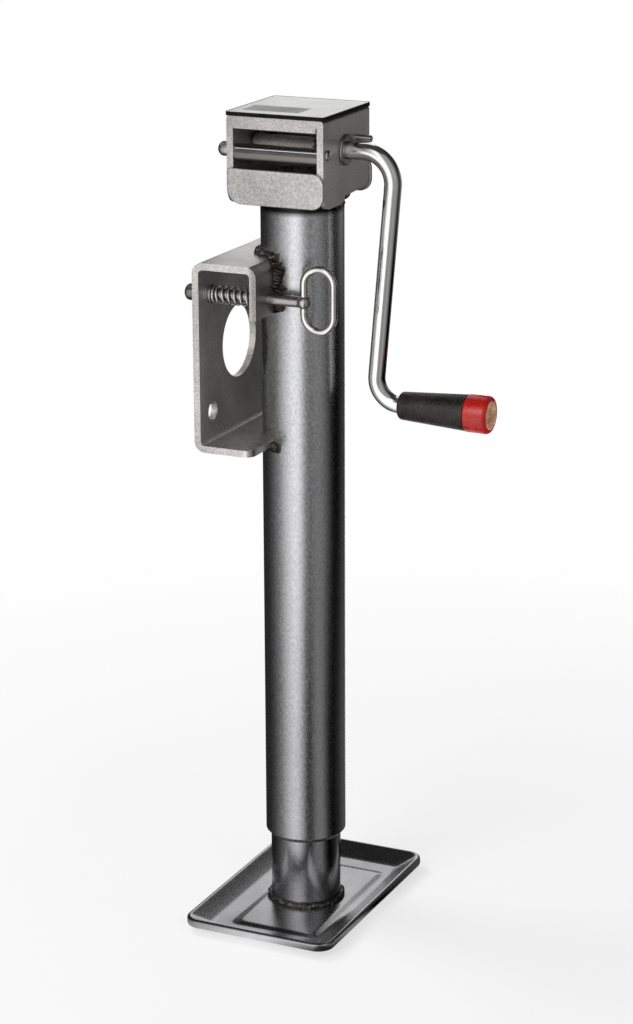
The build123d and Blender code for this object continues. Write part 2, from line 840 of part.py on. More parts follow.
with BuildPart() as shaft_clip:
    with BuildSketch(Plane.YZ.offset(head_left - slide_gap)):
        with Locations((0, crank_height)):
            Circle(clip_radius)
            Circle(shaft_radius, mode=Mode.SUBTRACT)
    extrude(amount=-clip_thickness)
shaft_clip.part.label = "shaft_clip"
export_step(shaft_clip.part, "parts/shaft_clip.step")

# Grip: tapered sleeve, end cap with a disc let into it, and the washer that keeps them on the rod
with BuildPart() as grip_sleeve:
    with BuildSketch(Plane.XZ) as sleeve_shape:
        bore_top = grip_height + rod_radius + slide_gap
        with BuildLine():
            Polyline(
                (grip_start, bore_top),
                (grip_start, grip_height + grip_radius_start),
                (grip_end, grip_height + grip_radius_end),
                (grip_end, bore_top),
                close=True,
            )
        make_face()
        start_corner = (grip_start, grip_height + grip_radius_start)
        fillet(sleeve_shape.vertices().sort_by_distance(start_corner)[0], radius=grip_corner)
    revolve(axis=Axis((0, 0, grip_height), (1, 0, 0)))
grip_sleeve.part.label = "grip_sleeve"
export_step(grip_sleeve.part, "parts/grip_sleeve.step")

with BuildPart() as grip_cap:
    with BuildSketch(Plane.XZ) as cap_shape:
        with BuildLine():
            Polyline(
                (grip_end, grip_height + cap_bore),
                (grip_end, grip_height + cap_radius),
                (cap_end, grip_height + cap_radius),
                (cap_end, grip_height + cap_disc_radius),
                (cap_end - cap_disc_thickness, grip_height + cap_disc_radius),
                (cap_end - cap_disc_thickness, grip_height),
                (cap_end - cap_wall, grip_height),
                (cap_end - cap_wall, grip_height + cap_bore),
                close=True,
            )
        make_face()
        inner_corner = (grip_end, grip_height + cap_radius)
        outer_corner = (cap_end, grip_height + cap_radius)
        fillet(cap_shape.vertices().sort_by_distance(inner_corner)[0], radius=cap_inner_round)
        fillet(cap_shape.vertices().sort_by_distance(outer_corner)[0], radius=cap_outer_round)
    revolve(axis=Axis((0, 0, grip_height), (1, 0, 0)))
grip_cap.part.label = "grip_cap"
export_step(grip_cap.part, "parts/grip_cap.step")

with BuildPart() as cap_disc:
    with BuildSketch(Plane.YZ.offset(cap_end - cap_disc_thickness)):
        with Locations((0, grip_height)):
            Circle(cap_disc_radius)
    extrude(amount=cap_disc_thickness)
cap_disc.part.label = "cap_disc"
export_step(cap_disc.part, "parts/cap_disc.step")

with BuildPart() as grip_washer:
    with BuildSketch(Plane.YZ.offset(grip_end + slide_gap)):
        with Locations((0, grip_height)):
            Circle(grip_washer_radius)
            Circle(rod_radius, mode=Mode.SUBTRACT)
    extrude(amount=grip_washer_thickness)
grip_washer.part.label = "grip_washer"
export_step(grip_washer.part, "parts/grip_washer.step")

# Swivel bracket: one bent plate, with a short tab that guides the lock pin
mid_left = bracket_left + bracket_plate / 2
mid_top = bracket_top - bracket_plate / 2
mid_bottom = bracket_bottom + bracket_plate / 2
mid_tab = bracket_right - bracket_plate / 2
with BuildPart() as swivel_bracket:
    with BuildSketch(Plane.XZ.offset(-bracket_half_width)):
        with BuildLine() as plate_line:
            FilletPolyline(
                (tab_left, mid_bottom),
                (mid_left, mid_bottom),
                (mid_left, mid_top),
                (tab_left, mid_top),
                radius=bracket_bend,
            )
        trace(line_width=bracket_plate)
    extrude(amount=2 * bracket_half_width)
    with BuildSketch(Plane.XZ.offset(0)):
        with BuildLine() as tab_line:
            FilletPolyline(
                (tab_left - tab_root, mid_top),
                (mid_tab, mid_top),
                (mid_tab, tab_bottom),
                radius=bracket_bend,
            )
        trace(line_width=bracket_plate)
    extrude(amount=bracket_half_width)
    Cylinder(
        tube_radius,
        2 * tube_top,
        align=(Align.CENTER, Align.CENTER, Align.MIN),
        mode=Mode.SUBTRACT,
    )
    with Locations(Location((bracket_left, 0, bracket_middle), (0, 90, 0))):
        Cylinder(pivot_radius, 3 * bracket_plate, mode=Mode.SUBTRACT)
    with Locations(Location((bracket_left, lock_y, bracket_middle - lock_offset), (0, 90, 0))):
        Cylinder(lock_hole_radius, 3 * bracket_plate, mode=Mode.SUBTRACT)
    with Locations(Location((bracket_left, lock_y, lock_z), (0, 90, 0))):
        Cylinder(pin_guide_radius + hole_play, 3 * bracket_plate, mode=Mode.SUBTRACT)
    with Locations(Location((mid_tab, lock_y, lock_z), (0, 90, 0))):
        Cylinder(pin_rod_radius + hole_play, 3 * bracket_plate, mode=Mode.SUBTRACT)
    front_edges = swivel_bracket.edges().filter_by(Axis.Z).group_by(Axis.Y)[0]
    low_edges = front_edges.filter_by_position(Axis.Z, bracket_bottom, bracket_bottom + bracket_plate)
    fillet(low_edges, radius=bracket_corner)
swivel_bracket.part.label = "swivel_bracket"
export_step(swivel_bracket.part, "parts/swivel_bracket.step")

# Beads that join the bracket to the tube
tab_seam = -math.sqrt(tube_radius**2 - bracket_right**2)
with BuildPart() as bracket_weld:
    with BuildSketch(Plane.YZ):
        with Locations((tube_radius, bracket_bottom + bead_inset), (tube_radius, bracket_top - bead_inset)):
            Circle(bracket_bead)
    revolve(axis=Axis.Z, revolution_arc=180)
    with Locations((bracket_right + tab_bead_offset, tab_seam, tab_bottom - bead_inset)):
        Cylinder(
            tab_bead,
            bracket_top - bracket_plate - tab_bottom + bead_inset,
            align=(Align.CENTER, Align.CENTER, Align.MIN),
        )
        Sphere(tab_bead_end)
    Cylinder(
        tube_radius,
        2 * tube_top,
        align=(Align.CENTER, Align.CENTER, Align.MIN),
        mode=Mode.SUBTRACT,
    )
    add(swivel_bracket.part, mode=Mode.SUBTRACT)
bracket_weld.part.label = "bracket_weld"
export_step(bracket_weld.part, "parts/bracket_weld.step")

# Lock pin with a round nose, a guide in the bracket, a thinner rod and an eye
guide_end = bracket_left - pin_guide_end
with BuildPart() as lock_pin:
    with BuildSketch(Plane.XZ.offset(-lock_y)):
        with BuildLine():
            Line((pin_tip, lock_z), (ring_x, lock_z))
            Line((ring_x, lock_z), (ring_x, lock_z + pin_rod_radius))
            Polyline(
                (ring_x, lock_z + pin_rod_radius),
                (shoulder, lock_z + pin_rod_radius),
                (shoulder, lock_z + pin_guide_radius),
                (guide_end, lock_z + pin_guide_radius),
                (guide_end, lock_z + pin_radius),
                (pin_tip + pin_nose, lock_z + pin_radius),
            )
            ThreePointArc(
                (pin_tip + pin_nose, lock_z + pin_radius),
                dome_middle(pin_tip, pin_radius, pin_nose, lock_z),
                (pin_tip, lock_z),
            )
        make_face()
    revolve(axis=Axis((0, lock_y, lock_z), (1, 0, 0)))
    with Locations((ring_x, lock_y, lock_z)):
        Sphere(eye_radius)
        Cylinder(ring_wire + slide_gap, 4 * eye_radius, mode=Mode.SUBTRACT)
lock_pin.part.label = "lock_pin"
export_step(lock_pin.part, "parts/lock_pin.step")

with BuildPart() as pin_collar:
    with BuildSketch(Plane.YZ.offset(shoulder)):
        with Locations((lock_y, lock_z)):
            Circle(collar_radius)
            Circle(pin_rod_radius + hole_play / 2, mode=Mode.SUBTRACT)
    extrude(amount=collar_thickness)
pin_collar.part.label = "pin_collar"
export_step(pin_collar.part, "parts/pin_collar.step")

# Compression spring between the collar and the tab
spring_start = shoulder + collar_thickness + wire / 2
spring_length = tab_left - spring_start - wire / 2
with BuildPart() as pin_spring:
    with BuildLine():
        coil = Helix(
            pitch=spring_length / spring_turns,
            height=spring_length,
            radius=spring_radius,
            center=(spring_start, lock_y, lock_z),
            direction=(1, 0, 0),
        )
    with BuildSketch(Plane(origin=coil @ 0, z_dir=coil % 0)):
        Circle(wire / 2)
    sweep(is_frenet=True)
pin_spring.part.label = "pin_spring"
export_step(pin_spring.part, "parts/pin_spring.step")

# Pull ring, an oval wire loop through the pin's eye
with BuildPart() as pull_ring:
    with BuildLine() as ring_path:
        bend = ring_width / 2
        straight = ring_height / 2 - bend
        ring_top = lock_z + ring_rise + straight
        ring_low = lock_z + ring_rise - straight
        p1 = (ring_x, lock_y, ring_low)
        p2 = (ring_x, lock_y, ring_top)
        p3 = (ring_x + ring_width, lock_y, ring_top)
        p4 = (ring_x + ring_width, lock_y, ring_low)
        Line(p1, p2)
        ThreePointArc(p2, (ring_x + bend, lock_y, ring_top + bend), p3)
        Line(p3, p4)
        ThreePointArc(p4, (ring_x + bend, lock_y, ring_low - bend), p1)
    with BuildSketch(Plane(origin=p1, z_dir=(0, 0, 1))):
        Circle(ring_wire)
    sweep()
pull_ring.part.label = "pull_ring"
export_step(pull_ring.part, "parts/pull_ring.step")
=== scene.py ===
"""Looks of a telescopic prop stand: visible surfaces, finishes, floor, lights and camera, built round its frame.

Shapes are worked out in millimetres in the frame's own axes and written to their meshes in metres.
"""

import math

import bmesh
import bpy
import numpy as np
from bpy.props import FloatProperty, FloatVectorProperty, IntProperty, PointerProperty
from mathutils import Matrix, Vector


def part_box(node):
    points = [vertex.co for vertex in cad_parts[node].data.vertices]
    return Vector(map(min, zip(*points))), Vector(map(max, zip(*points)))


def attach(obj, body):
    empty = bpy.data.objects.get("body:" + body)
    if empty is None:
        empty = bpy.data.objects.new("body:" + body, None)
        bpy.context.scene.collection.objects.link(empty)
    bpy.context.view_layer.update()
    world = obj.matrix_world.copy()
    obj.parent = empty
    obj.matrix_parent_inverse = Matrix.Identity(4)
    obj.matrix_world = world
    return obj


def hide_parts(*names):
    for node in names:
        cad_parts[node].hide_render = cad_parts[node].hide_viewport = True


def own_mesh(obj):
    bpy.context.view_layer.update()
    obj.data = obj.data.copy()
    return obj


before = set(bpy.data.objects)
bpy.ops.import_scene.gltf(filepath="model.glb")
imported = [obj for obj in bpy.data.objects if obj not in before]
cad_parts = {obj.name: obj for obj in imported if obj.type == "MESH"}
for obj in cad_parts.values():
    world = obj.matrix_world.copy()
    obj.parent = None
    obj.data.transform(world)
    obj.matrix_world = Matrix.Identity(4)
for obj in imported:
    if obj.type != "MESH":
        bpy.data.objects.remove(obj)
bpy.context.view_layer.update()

bl_info = {
    "name": "Prop stand looks",
    "version": (1, 0, 0),
    "blender": (4, 5, 0),
    "location": "3D View > Sidebar > Prop stand",
    "description": "Builds the visible surfaces and finishes of a telescopic prop stand",
    "category": "Object",
}

MM = 1000.0
X = np.array((1.0, 0.0, 0.0))
Y = np.array((0.0, 1.0, 0.0))
Z = np.array((0.0, 0.0, 1.0))
# Azimuth round the stand, and the cloth's tone there on the floor, halfway up, beside the head and above it
CLOTH_TONES = (
    (-142, 0.02, 0.02, 0.02, 0.02),
    (-88, 0.03, 0.04, 0.04, 0.03),
    (-68, 0.10, 0.14, 0.14, 0.05),
    (-45, 0.32, 0.42, 0.40, 0.05),
    (-28, 0.80, 1.05, 0.85, 0.05),
    (-14, 1.20, 1.50, 1.20, 0.08),
    (-2, 1.40, 1.90, 1.90, 0.60),
    (8, 1.10, 1.90, 2.00, 1.20),
    (18, 0.60, 1.40, 1.70, 1.20),
    (27, 0.05, 0.50, 0.80, 0.60),
    (39, 0.02, 0.24, 0.34, 0.34),
    (55, 0.36, 0.36, 0.36, 0.36),
    (72, 0.36, 0.36, 0.34, 0.34),
    (82, 0.12, 0.26, 0.26, 0.26),
    (94, 0.00, 0.12, 0.14, 0.12),
    (108, 0.00, 0.00, 0.03, 0.03),
    (130, 0.04, 0.00, 0.08, 0.03),
    (148, 0.12, 0.05, 0.30, 0.03),
    (160, 0.14, 0.10, 0.30, 0.04),
    (168, 0.10, 0.06, 0.06, 0.04),
    (182, 0.10, 0.04, 0.03, 0.12),
)
# Radius and height of the cloth's folds in metres, and which of the four tones each has
CLOTH_FOLDS = (
    (0.06, 0.0006, 0),
    (0.36, 0.0006, 0),
    (0.36, 0.25, 1),
    (0.36, 0.40, 1),
    (0.36, 0.48, 2),
    (0.36, 0.60, 2),
    (0.36, 0.64, 3),
    (0.36, 1.15, 3),
)
CLOTH_STEPS = 158
# Round cloth straight above the stand: radius and height in metres, and tone
ROOF_RADIUS = 0.36
ROOF_HEIGHT = 1.15
ROOF_TONE = 0.05
# Half width and height of the floor in metres, and the distances between which it turns plain white
FLOOR_HALF = 6.0
FLOOR_HEIGHT = -0.0004
FLOOR_FADE = (0.25, 0.9)
WHITE = (1, 1, 1, 1)
# Strength of the surroundings on surfaces that don't mirror them
DIM_LIGHT = 0.35
# How often a bead's lumps go round it, one entry a wave, and the waves' lengths in millimetres
LUMP_TURNS = (0, 0, 1, 1, 2, 2, 3)
LUMP_LENGTHS = (4.0, 14.0)
# Distance from each end over which the lumps of a closed bead fade, in millimetres
LUMP_FADE = 6.0


def corners(node):
    """Lowest and highest corner of a frame node, in millimetres."""
    low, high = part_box(node)
    return np.array(low) * MM, np.array(high) * MM


def middle(node):
    """Centre of a frame node's box, in millimetres."""
    low, high = corners(node)
    return (low + high) / 2


def add_object(name, data):
    """A new object in the scene for a mesh, lamp or camera."""
    made = bpy.data.objects.new(name, data)
    bpy.context.scene.collection.objects.link(made)
    return made


# Shapes


def make_piece(name, points, faces, body, slot, stands_for=(), sharp=34.0):
    """Closed piece from points in millimetres: doubles merged, faces outwards, edges over `sharp` crisp."""
    mesh = bpy.data.meshes.new(name)
    mesh.from_pydata((np.asarray(points) / MM).tolist(), [], np.asarray(faces).tolist())
    shell = bmesh.new()
    shell.from_mesh(mesh)
    bmesh.ops.remove_doubles(shell, verts=shell.verts, dist=2e-6)
    bmesh.ops.dissolve_degenerate(shell, edges=shell.edges, dist=1e-7)
    bmesh.ops.recalc_face_normals(shell, faces=shell.faces)
    shell.to_mesh(mesh)
    shell.free()
    return finish_piece(name, mesh, body, slot, stands_for, sharp)


def finish_piece(name, mesh, body, slot, stands_for=(), sharp=34.0):
    """Shades a mesh, gives it the finish of its slot and lets it ride on its body."""
    mesh.polygons.foreach_set("use_smooth", [True] * len(mesh.polygons))
    mesh.set_sharp_from_angle(angle=math.radians(sharp))
    piece = add_object(name, mesh)
    mesh.materials.clear()
    mesh.materials.append(finish(slot))
    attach(piece, body)
    if stands_for:
        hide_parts(*stands_for)
    return piece


def grid_faces(rows, columns, loop=False, wrap=True):
    """Quads of a grid stored row by row. With wrap each row closes, with loop the last row joins the first."""
    i = np.arange(rows if loop else rows - 1)[:, None]
    j = np.arange(columns if wrap else columns - 1)[None, :]
    k = (i + 1) % rows
    n = (j + 1) % columns
    quads = (i * columns + j, i * columns + n, k * columns + n, k * columns + j)
    return np.stack(quads, axis=-1).reshape(-1, 4)


def skin(name, rings, body, slot, stands_for=(), loop=False, sharp=34.0):
    """Surface through rings, an array (ring, point, xyz). Unless it loops, each end closes on its centre."""
    rings = np.asarray(rings, float)
    count, around = rings.shape[:2]
    if not loop:
        first = np.repeat(rings[:1].mean(axis=1, keepdims=True), around, axis=1)
        last = np.repeat(rings[-1:].mean(axis=1, keepdims=True), around, axis=1)
        rings = np.concatenate((first, rings, last))
        count += 2
    faces = grid_faces(count, around, loop)
    return make_piece(name, rings.reshape(-1, 3), faces, body, slot, stands_for, sharp)


def rounded_path(points, radii, steps=5):
    """Polyline with arcs at its corners: each touches both sides, `radius / tan(half angle)` from the corner."""
    points = [np.asarray(p, float) for p in points]
    out = [points[0][None]]
    for before, corner, after, radius in zip(points, points[1:], points[2:], radii):
        if radius <= 0:
            out.append(corner[None])
            continue
        u = (before - corner) / np.linalg.norm(before - corner)
        v = (after - corner) / np.linalg.norm(after - corner)
        half = math.acos(np.clip(u @ v, -1, 1)) / 2
        centre = corner + (u + v) / np.linalg.norm(u + v) * radius / math.sin(half)
        start = corner + u * radius / math.tan(half) - centre
        end = corner + v * radius / math.tan(half) - centre
        turn = math.pi - 2 * half
        t = np.linspace(0, 1, steps + 1)[:, None]
        out.append(centre + (np.sin((1 - t) * turn) * start + np.sin(t * turn) * end) / math.sin(turn))
    out.append(points[-1][None])
    return np.concatenate(out)


def rounded_loop(points, radii, steps=5):
    """Closed outline with an arc of its own radius at every corner."""
    points = [np.asarray(p, float) for p in points]
    start = (points[-1] + points[0]) / 2
    return rounded_path([start, *points, start], radii, steps)[:-1]


def rounded_rings(rings, centre, shift, steps):
    """Rings of rounded rectangles, whose corners are quarter circles of `steps` points.

    A row has half sizes, their growth, height above the centre, corner radius and share of the sideways shift.
    """
    half_x, half_y, height, radius, share = np.array(
        [(x + grow, y + grow, *rest) for (x, y), grow, *rest in rings]
    ).T[:, :, None]
    turn = np.linspace(0, math.pi / 2, steps)
    arcs = []
    for k, (sx, sy) in enumerate(((1, 1), (-1, 1), (-1, -1), (1, -1))):
        angle = turn + k * math.pi / 2
        x = centre[0] + shift[0] * share + sx * (half_x - radius) + radius * np.cos(angle)
        y = centre[1] + shift[1] * share + sy * (half_y - radius) + radius * np.sin(angle)
        arcs.append(np.stack((x, y, np.broadcast_to(centre[2] + height, x.shape)), axis=-1))
    return np.concatenate(arcs, axis=1)


def arc(angle, radius):
    """Points of a circle in its own plane: (radius cos, radius sin)."""
    return np.stack((radius * np.cos(angle), radius * np.sin(angle)), axis=1)


def dome(start, depth, radius):
    """Profile of a domed end: (start + depth (1 - cos), radius sin) over a quarter turn."""
    turn = np.linspace(0, math.pi / 2, 9)
    return np.stack((start + depth * (1 - np.cos(turn)), radius * np.sin(turn)), axis=1)


def sleeve(start, end, bore, outer, radii, steps):
    """Profile of a sleeve: a rectangle from the bore to the outside with rounded corners."""
    return rounded_loop([(start, bore), (start, outer), (end, outer), (end, bore)], radii, steps)


def lying(node):
    """Both corners of a frame node that lies along X, and the (0, y, z) of its middle."""
    low, high = corners(node)
    return low, high, (0, *middle(node)[1:])


def level_arc(radius, angle, height):
    """Points round the tube's axis at one height: (radius cos, radius sin, height)."""
    return np.stack((radius * np.cos(angle), radius * np.sin(angle), np.full(len(angle), height)), axis=1)


def turned(name, origin, axis, profile, body, slot, stands_for=(), around=72, loop=False, sharp=34.0):
    """Surface of revolution: a profile of (distance along the axis, radius) turned once round the axis."""
    profile = np.asarray(profile, float)
    axis = np.asarray(axis, float)
    side = np.cross(axis, Z) if abs(axis[2]) < 0.5 else np.cross(axis, X)
    side /= np.linalg.norm(side)
    other = np.cross(axis, side)
    angle = np.linspace(0, 2 * math.pi, around, endpoint=False)[None, :, None]
    spoke = np.cos(angle) * side + np.sin(angle) * other
    rings = np.asarray(origin) + profile[:, :1, None] * axis + profile[:, 1:, None] * spoke
    return skin(name, rings, body, slot, stands_for, loop, sharp)


def pipe(name, path, radius, body, slot, stands_for=(), around=24, loop=False, sharp=34.0):
    """Round bar along a path: each ring lies across it, and the rings' start is carried along without twist."""
    path = np.asarray(path, float)
    radius = np.asarray(radius, float)
    if radius.ndim < 2:
        radius = np.broadcast_to(radius, len(path))[:, None]
    if loop:
        tangent = np.roll(path, -1, axis=0) - np.roll(path, 1, axis=0)
    else:
        tangent = np.gradient(path, axis=0)
    tangent /= np.linalg.norm(tangent, axis=1, keepdims=True)
    side = np.cross(tangent[0], Y if abs(tangent[0][1]) < 0.8 else X)
    sides = []
    for t in tangent:
        side = side - t * (side @ t)
        side = side / np.linalg.norm(side)
        sides.append(side)
    sides = np.array(sides)
    others = np.cross(tangent, sides)
    angle = np.linspace(0, 2 * math.pi, around, endpoint=False)[None, :, None]
    spoke = np.cos(angle) * sides[:, None] + np.sin(angle) * others[:, None]
    rings = path[:, None] + radius[..., None] * spoke
    return skin(name, rings, body, slot, stands_for, loop, sharp)


def edge_profile(thickness, edge, steps=4):
    """Half-round edged side of a sheet: (inset from the outline, height), with a flat margin at each face."""
    turn = np.linspace(0, math.pi / 2, steps + 1)
    inset = edge * (1 - np.sin(turn))
    low = np.stack((inset, edge * (1 - np.cos(turn))), axis=1)
    high = np.stack((inset[::-1], thickness - low[::-1, 1]), axis=1)
    margin = 1.6 * edge
    return np.concatenate(([[margin, 0.0]], low, high, [[margin, thickness]]))


def sheet(name, outline, across, up, origin, thickness, edge, body, slot, stands_for=()):
    """Flat plate: its outline, along `across` and `up`, is carried over a rounded edge from face to face."""
    outline = np.asarray(outline, float)
    along = np.roll(outline, -1, axis=0) - np.roll(outline, 1, axis=0)
    along /= np.linalg.norm(along, axis=1, keepdims=True)
    outward = np.stack((along[:, 1], -along[:, 0]), axis=1)
    if np.mean(np.sum(outward * (outline - outline.mean(axis=0)), axis=1)) < 0:
        outward = -outward
    inset, height = edge_profile(thickness, edge).T
    flat = outline[None] - outward[None] * inset[:, None, None]
    across, up = np.asarray(across), np.asarray(up)
    normal = np.cross(across, up)
    rings = (
        np.asarray(origin)
        + flat[..., :1] * across
        + flat[..., 1:] * up
        + height[:, None, None] * normal
    )
    return skin(name, rings, body, slot, stands_for)


def bead(name, path, radius, ripple, seed, body, slot, stands_for=(), loop=False, lump=0.09):
    """Weld bead: a bar along its seam that swells in ripples, with random lumps along and round it."""
    path = np.asarray(path, float)
    step = np.linalg.norm(np.diff(path, axis=0, append=path[-1:]), axis=1)
    run = np.cumsum(step)[:, None]
    around = 20
    angle = np.linspace(0, 2 * math.pi, around, endpoint=False)
    chance = np.random.default_rng(seed)
    lumps = np.zeros((len(path), around))
    for turns in LUMP_TURNS:
        length = chance.uniform(*LUMP_LENGTHS)
        lumps += np.sin(run * 2 * math.pi / length + turns * angle + chance.uniform(0, 2 * math.pi))
    if loop:
        lumps *= np.clip(np.minimum(run, run[-1] - run) / LUMP_FADE, 0, 1)
    swell = radius * (1 + 0.03 * np.abs(np.sin(run * math.pi / ripple)) + lump * lumps)
    return pipe(name, path, swell, body, slot, stands_for, around=around, loop=loop, sharp=60)


def softened(name, node, edge, body, slot, sharp=30.0):
    """Copy of a frame node whose crisp edges are broken with a narrow round, standing for that node."""
    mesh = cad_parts[node].data.copy()
    mesh.name = name
    shell = bmesh.new()
    shell.from_mesh(mesh)
    bmesh.ops.remove_doubles(shell, verts=shell.verts, dist=2e-6)
    bmesh.ops.dissolve_limit(shell, angle_limit=math.radians(0.5), verts=shell.verts, edges=shell.edges)
    crisp = [e for e in shell.edges if len(e.link_faces) == 2 and e.calc_face_angle(0) > math.radians(50)]
    bmesh.ops.bevel(
        shell, geom=crisp, offset=edge / MM, offset_type="OFFSET", segments=2, profile=0.5, affect="EDGES",
        clamp_overlap=True,
    )
    bmesh.ops.recalc_face_normals(shell, faces=shell.faces)
    shell.to_mesh(mesh)
    shell.free()
    piece = finish_piece(name, mesh, body, slot, (node,), sharp)
    even = piece.modifiers.new("even", "WEIGHTED_NORMAL")
    even.keep_sharp = True
    even.weight = 100
    return piece


# Finishes


def set_inputs(made, node, inputs):
    """Fills inputs of a node in a material or the world: each gets a value, or the socket it is linked to."""
    for key, value in dict(inputs).items():
        if isinstance(value, bpy.types.NodeSocket):
            made.node_tree.links.new(value, node.inputs[key])
        else:
            node.inputs[key].default_value = value


def add_node(made, kind, inputs=(), operation=None):
    """Adds a node to a material or the world."""
    node = made.node_tree.nodes.new(kind)
    if operation:
        node.operation = operation
    set_inputs(made, node, inputs)
    return node


def start_nodes(made, output="ShaderNodeOutputMaterial"):
    """Empties the node tree of a material or the world and adds its output."""
    made.use_nodes = True
    made.node_tree.nodes.clear()
    return add_node(made, output)


def start_finish(name):
    """A node material that holds only its output and its shader."""
    made = bpy.data.materials.new(name)
    out = start_nodes(made)
    shader = add_node(made, "ShaderNodeBsdfPrincipled")
    set_inputs(made, out, {"Surface": shader.outputs["BSDF"]})
    return made, shader


def noise(made, scale, stretch=(1, 1, 1), detail=4.0, roughness=0.5):
    """Noise on the piece's own coordinates, finer along the axes where stretch is larger."""
    place = add_node(made, "ShaderNodeTexCoord")
    mapping = add_node(made, "ShaderNodeMapping", {"Vector": place.outputs["Object"], "Scale": stretch})
    inputs = {"Vector": mapping.outputs["Vector"], "Scale": scale, "Detail": detail, "Roughness": roughness}
    return add_node(made, "ShaderNodeTexNoise", inputs).outputs["Fac"]


def span(made, value, low, high, into_low=0.3, into_high=0.7):
    """Maps into_low..into_high, which by default is a noise value's middle range, to low..high."""
    inputs = {"Value": value, "From Min": into_low, "From Max": into_high, "To Min": low, "To Max": high}
    return add_node(made, "ShaderNodeMapRange", inputs).outputs["Result"]


def two_tone(made, value, dark, light):
    """Colour that runs from dark to light with a noise value."""
    ramp = add_node(made, "ShaderNodeValToRGB", {"Fac": value})
    for element, position, colour in zip(ramp.color_ramp.elements, (0.34, 0.66), (dark, light)):
        element.position = position
        element.color = (*colour, 1)
    return ramp.outputs["Color"]


def relief(made, value, strength, depth):
    """Bump of a given depth in metres."""
    return add_node(
        made, "ShaderNodeBump", {"Height": value, "Strength": strength, "Distance": depth}
    ).outputs["Normal"]


def scaled(made, colour, factor):
    """Colour multiplied by a value."""
    return add_node(made, "ShaderNodeVectorMath", {0: colour, "Scale": factor}, "SCALE").outputs["Vector"]


def facing(made, direction, low, high, start, end):
    """Runs from low to high as the surface turns towards a direction of the piece's own axes.

    `start` and `end` are the cosines between which it runs.
    """
    place = add_node(made, "ShaderNodeTexCoord")
    dot = add_node(made, "ShaderNodeVectorMath", {0: place.outputs["Normal"], 1: direction}, "DOT_PRODUCT")
    return span(made, dot.outputs["Value"], low, high, start, end)


def toned(tone, share):
    """A tone times a share, with no channel above 1."""
    return tuple(min(1.0, c * share) for c in tone)


def plated(
    name, tone, rough, spread=0.12, stretch=(1, 1, 1), grain=900.0, metallic=1.0, depth=0.00004, speck=0.1,
    slope_shade=1.0, shade_band=None,
):
    """Plated steel: cloudy tone with a fine grain that the roughness and a faint relief follow.

    Slopes that face up and to the front are darker by `slope_shade`: painted shade.
    `shade_band` gives an axis, the places on it between which the steel darkens, and how dark it ends: a painted
    shadow beside the part that shades it.
    """
    made, shader = start_finish(name)
    cloud = noise(made, 38.0, stretch, 5.0, 0.6)
    fine = noise(made, grain, stretch, 3.0, 0.55)
    colour = two_tone(made, cloud, toned(tone, 1 - spread), toned(tone, 1 + spread))
    colour = scaled(made, colour, span(made, fine, 1 - speck, 1 + speck))
    # Painted shade: slopes that face up and to the front are darkened by walls.
    if slope_shade < 1:
        colour = scaled(made, colour, facing(made, (0, -0.64, 0.77), 1.0, slope_shade, 0.83, 0.91))
    # Painted shadow: the steel darkens along one axis by tint, beside a part that shades it.
    if shade_band:
        axis, start, end, low = shade_band
        place = add_node(made, "ShaderNodeTexCoord")
        split = add_node(made, "ShaderNodeSeparateXYZ", {0: place.outputs["Object"]})
        colour = scaled(made, colour, span(made, split.outputs[axis], 1.0, low, start, end))
    set_inputs(made, shader, {
        "Base Color": colour,
        "Roughness": span(made, fine, rough * 0.82, rough * 1.2),
        "Normal": relief(made, fine, 0.35, depth),
        "Metallic": metallic,
    })
    return made


def bright_plated(name, tone, rough):
    """Bright plating over drawn bar: mirror-like, with faint drawing waves that only soften the reflections."""
    made, shader = start_finish(name)
    wave = noise(made, 60.0, detail=2.0)
    fine = noise(made, 1500.0, detail=2.0)
    set_inputs(made, shader, {
        "Base Color": two_tone(made, wave, toned(tone, 0.95), tone),
        "Roughness": span(made, fine, rough * 0.7, rough * 1.4),
        "Normal": relief(made, wave, 0.12, 0.0002),
        "Metallic": 1.0,
    })
    return made


def moulded(name, tone, rough, spread, grain, depth, shine=0.5):
    """Moulded plastic or rubber: even colour with slight clouding, and a leathery skin."""
    made, shader = start_finish(name)
    cloud = noise(made, 90.0)
    fine = noise(made, grain, detail=3.0)
    colour = two_tone(made, cloud, toned(tone, 1 - spread), toned(tone, 1 + spread))
    set_inputs(made, shader, {
        "Base Color": scaled(made, colour, span(made, fine, 1 - spread, 1 + spread)),
        "Roughness": span(made, fine, rough * 0.85, rough * 1.15),
        "Normal": relief(made, fine, 0.8, depth),
        "Specular IOR Level": shine,
    })
    return made


def welded(name, tone):
    """Weld metal: dark ripples with sparse flecks several times brighter."""
    made, shader = start_finish(name)
    patch = noise(made, 240.0, detail=3.0, roughness=0.6)
    fleck = noise(made, 620.0, detail=2.0)
    colour = two_tone(made, patch, toned(tone, 0.4), tone)
    set_inputs(made, shader, {
        "Base Color": scaled(made, colour, span(made, fleck, 1.0, 7.0, 0.64, 0.72)),
        "Roughness": span(made, fleck, 0.28, 0.55),
        "Normal": relief(made, patch, 0.9, 0.0007),
        "Metallic": 1.0,
    })
    return made


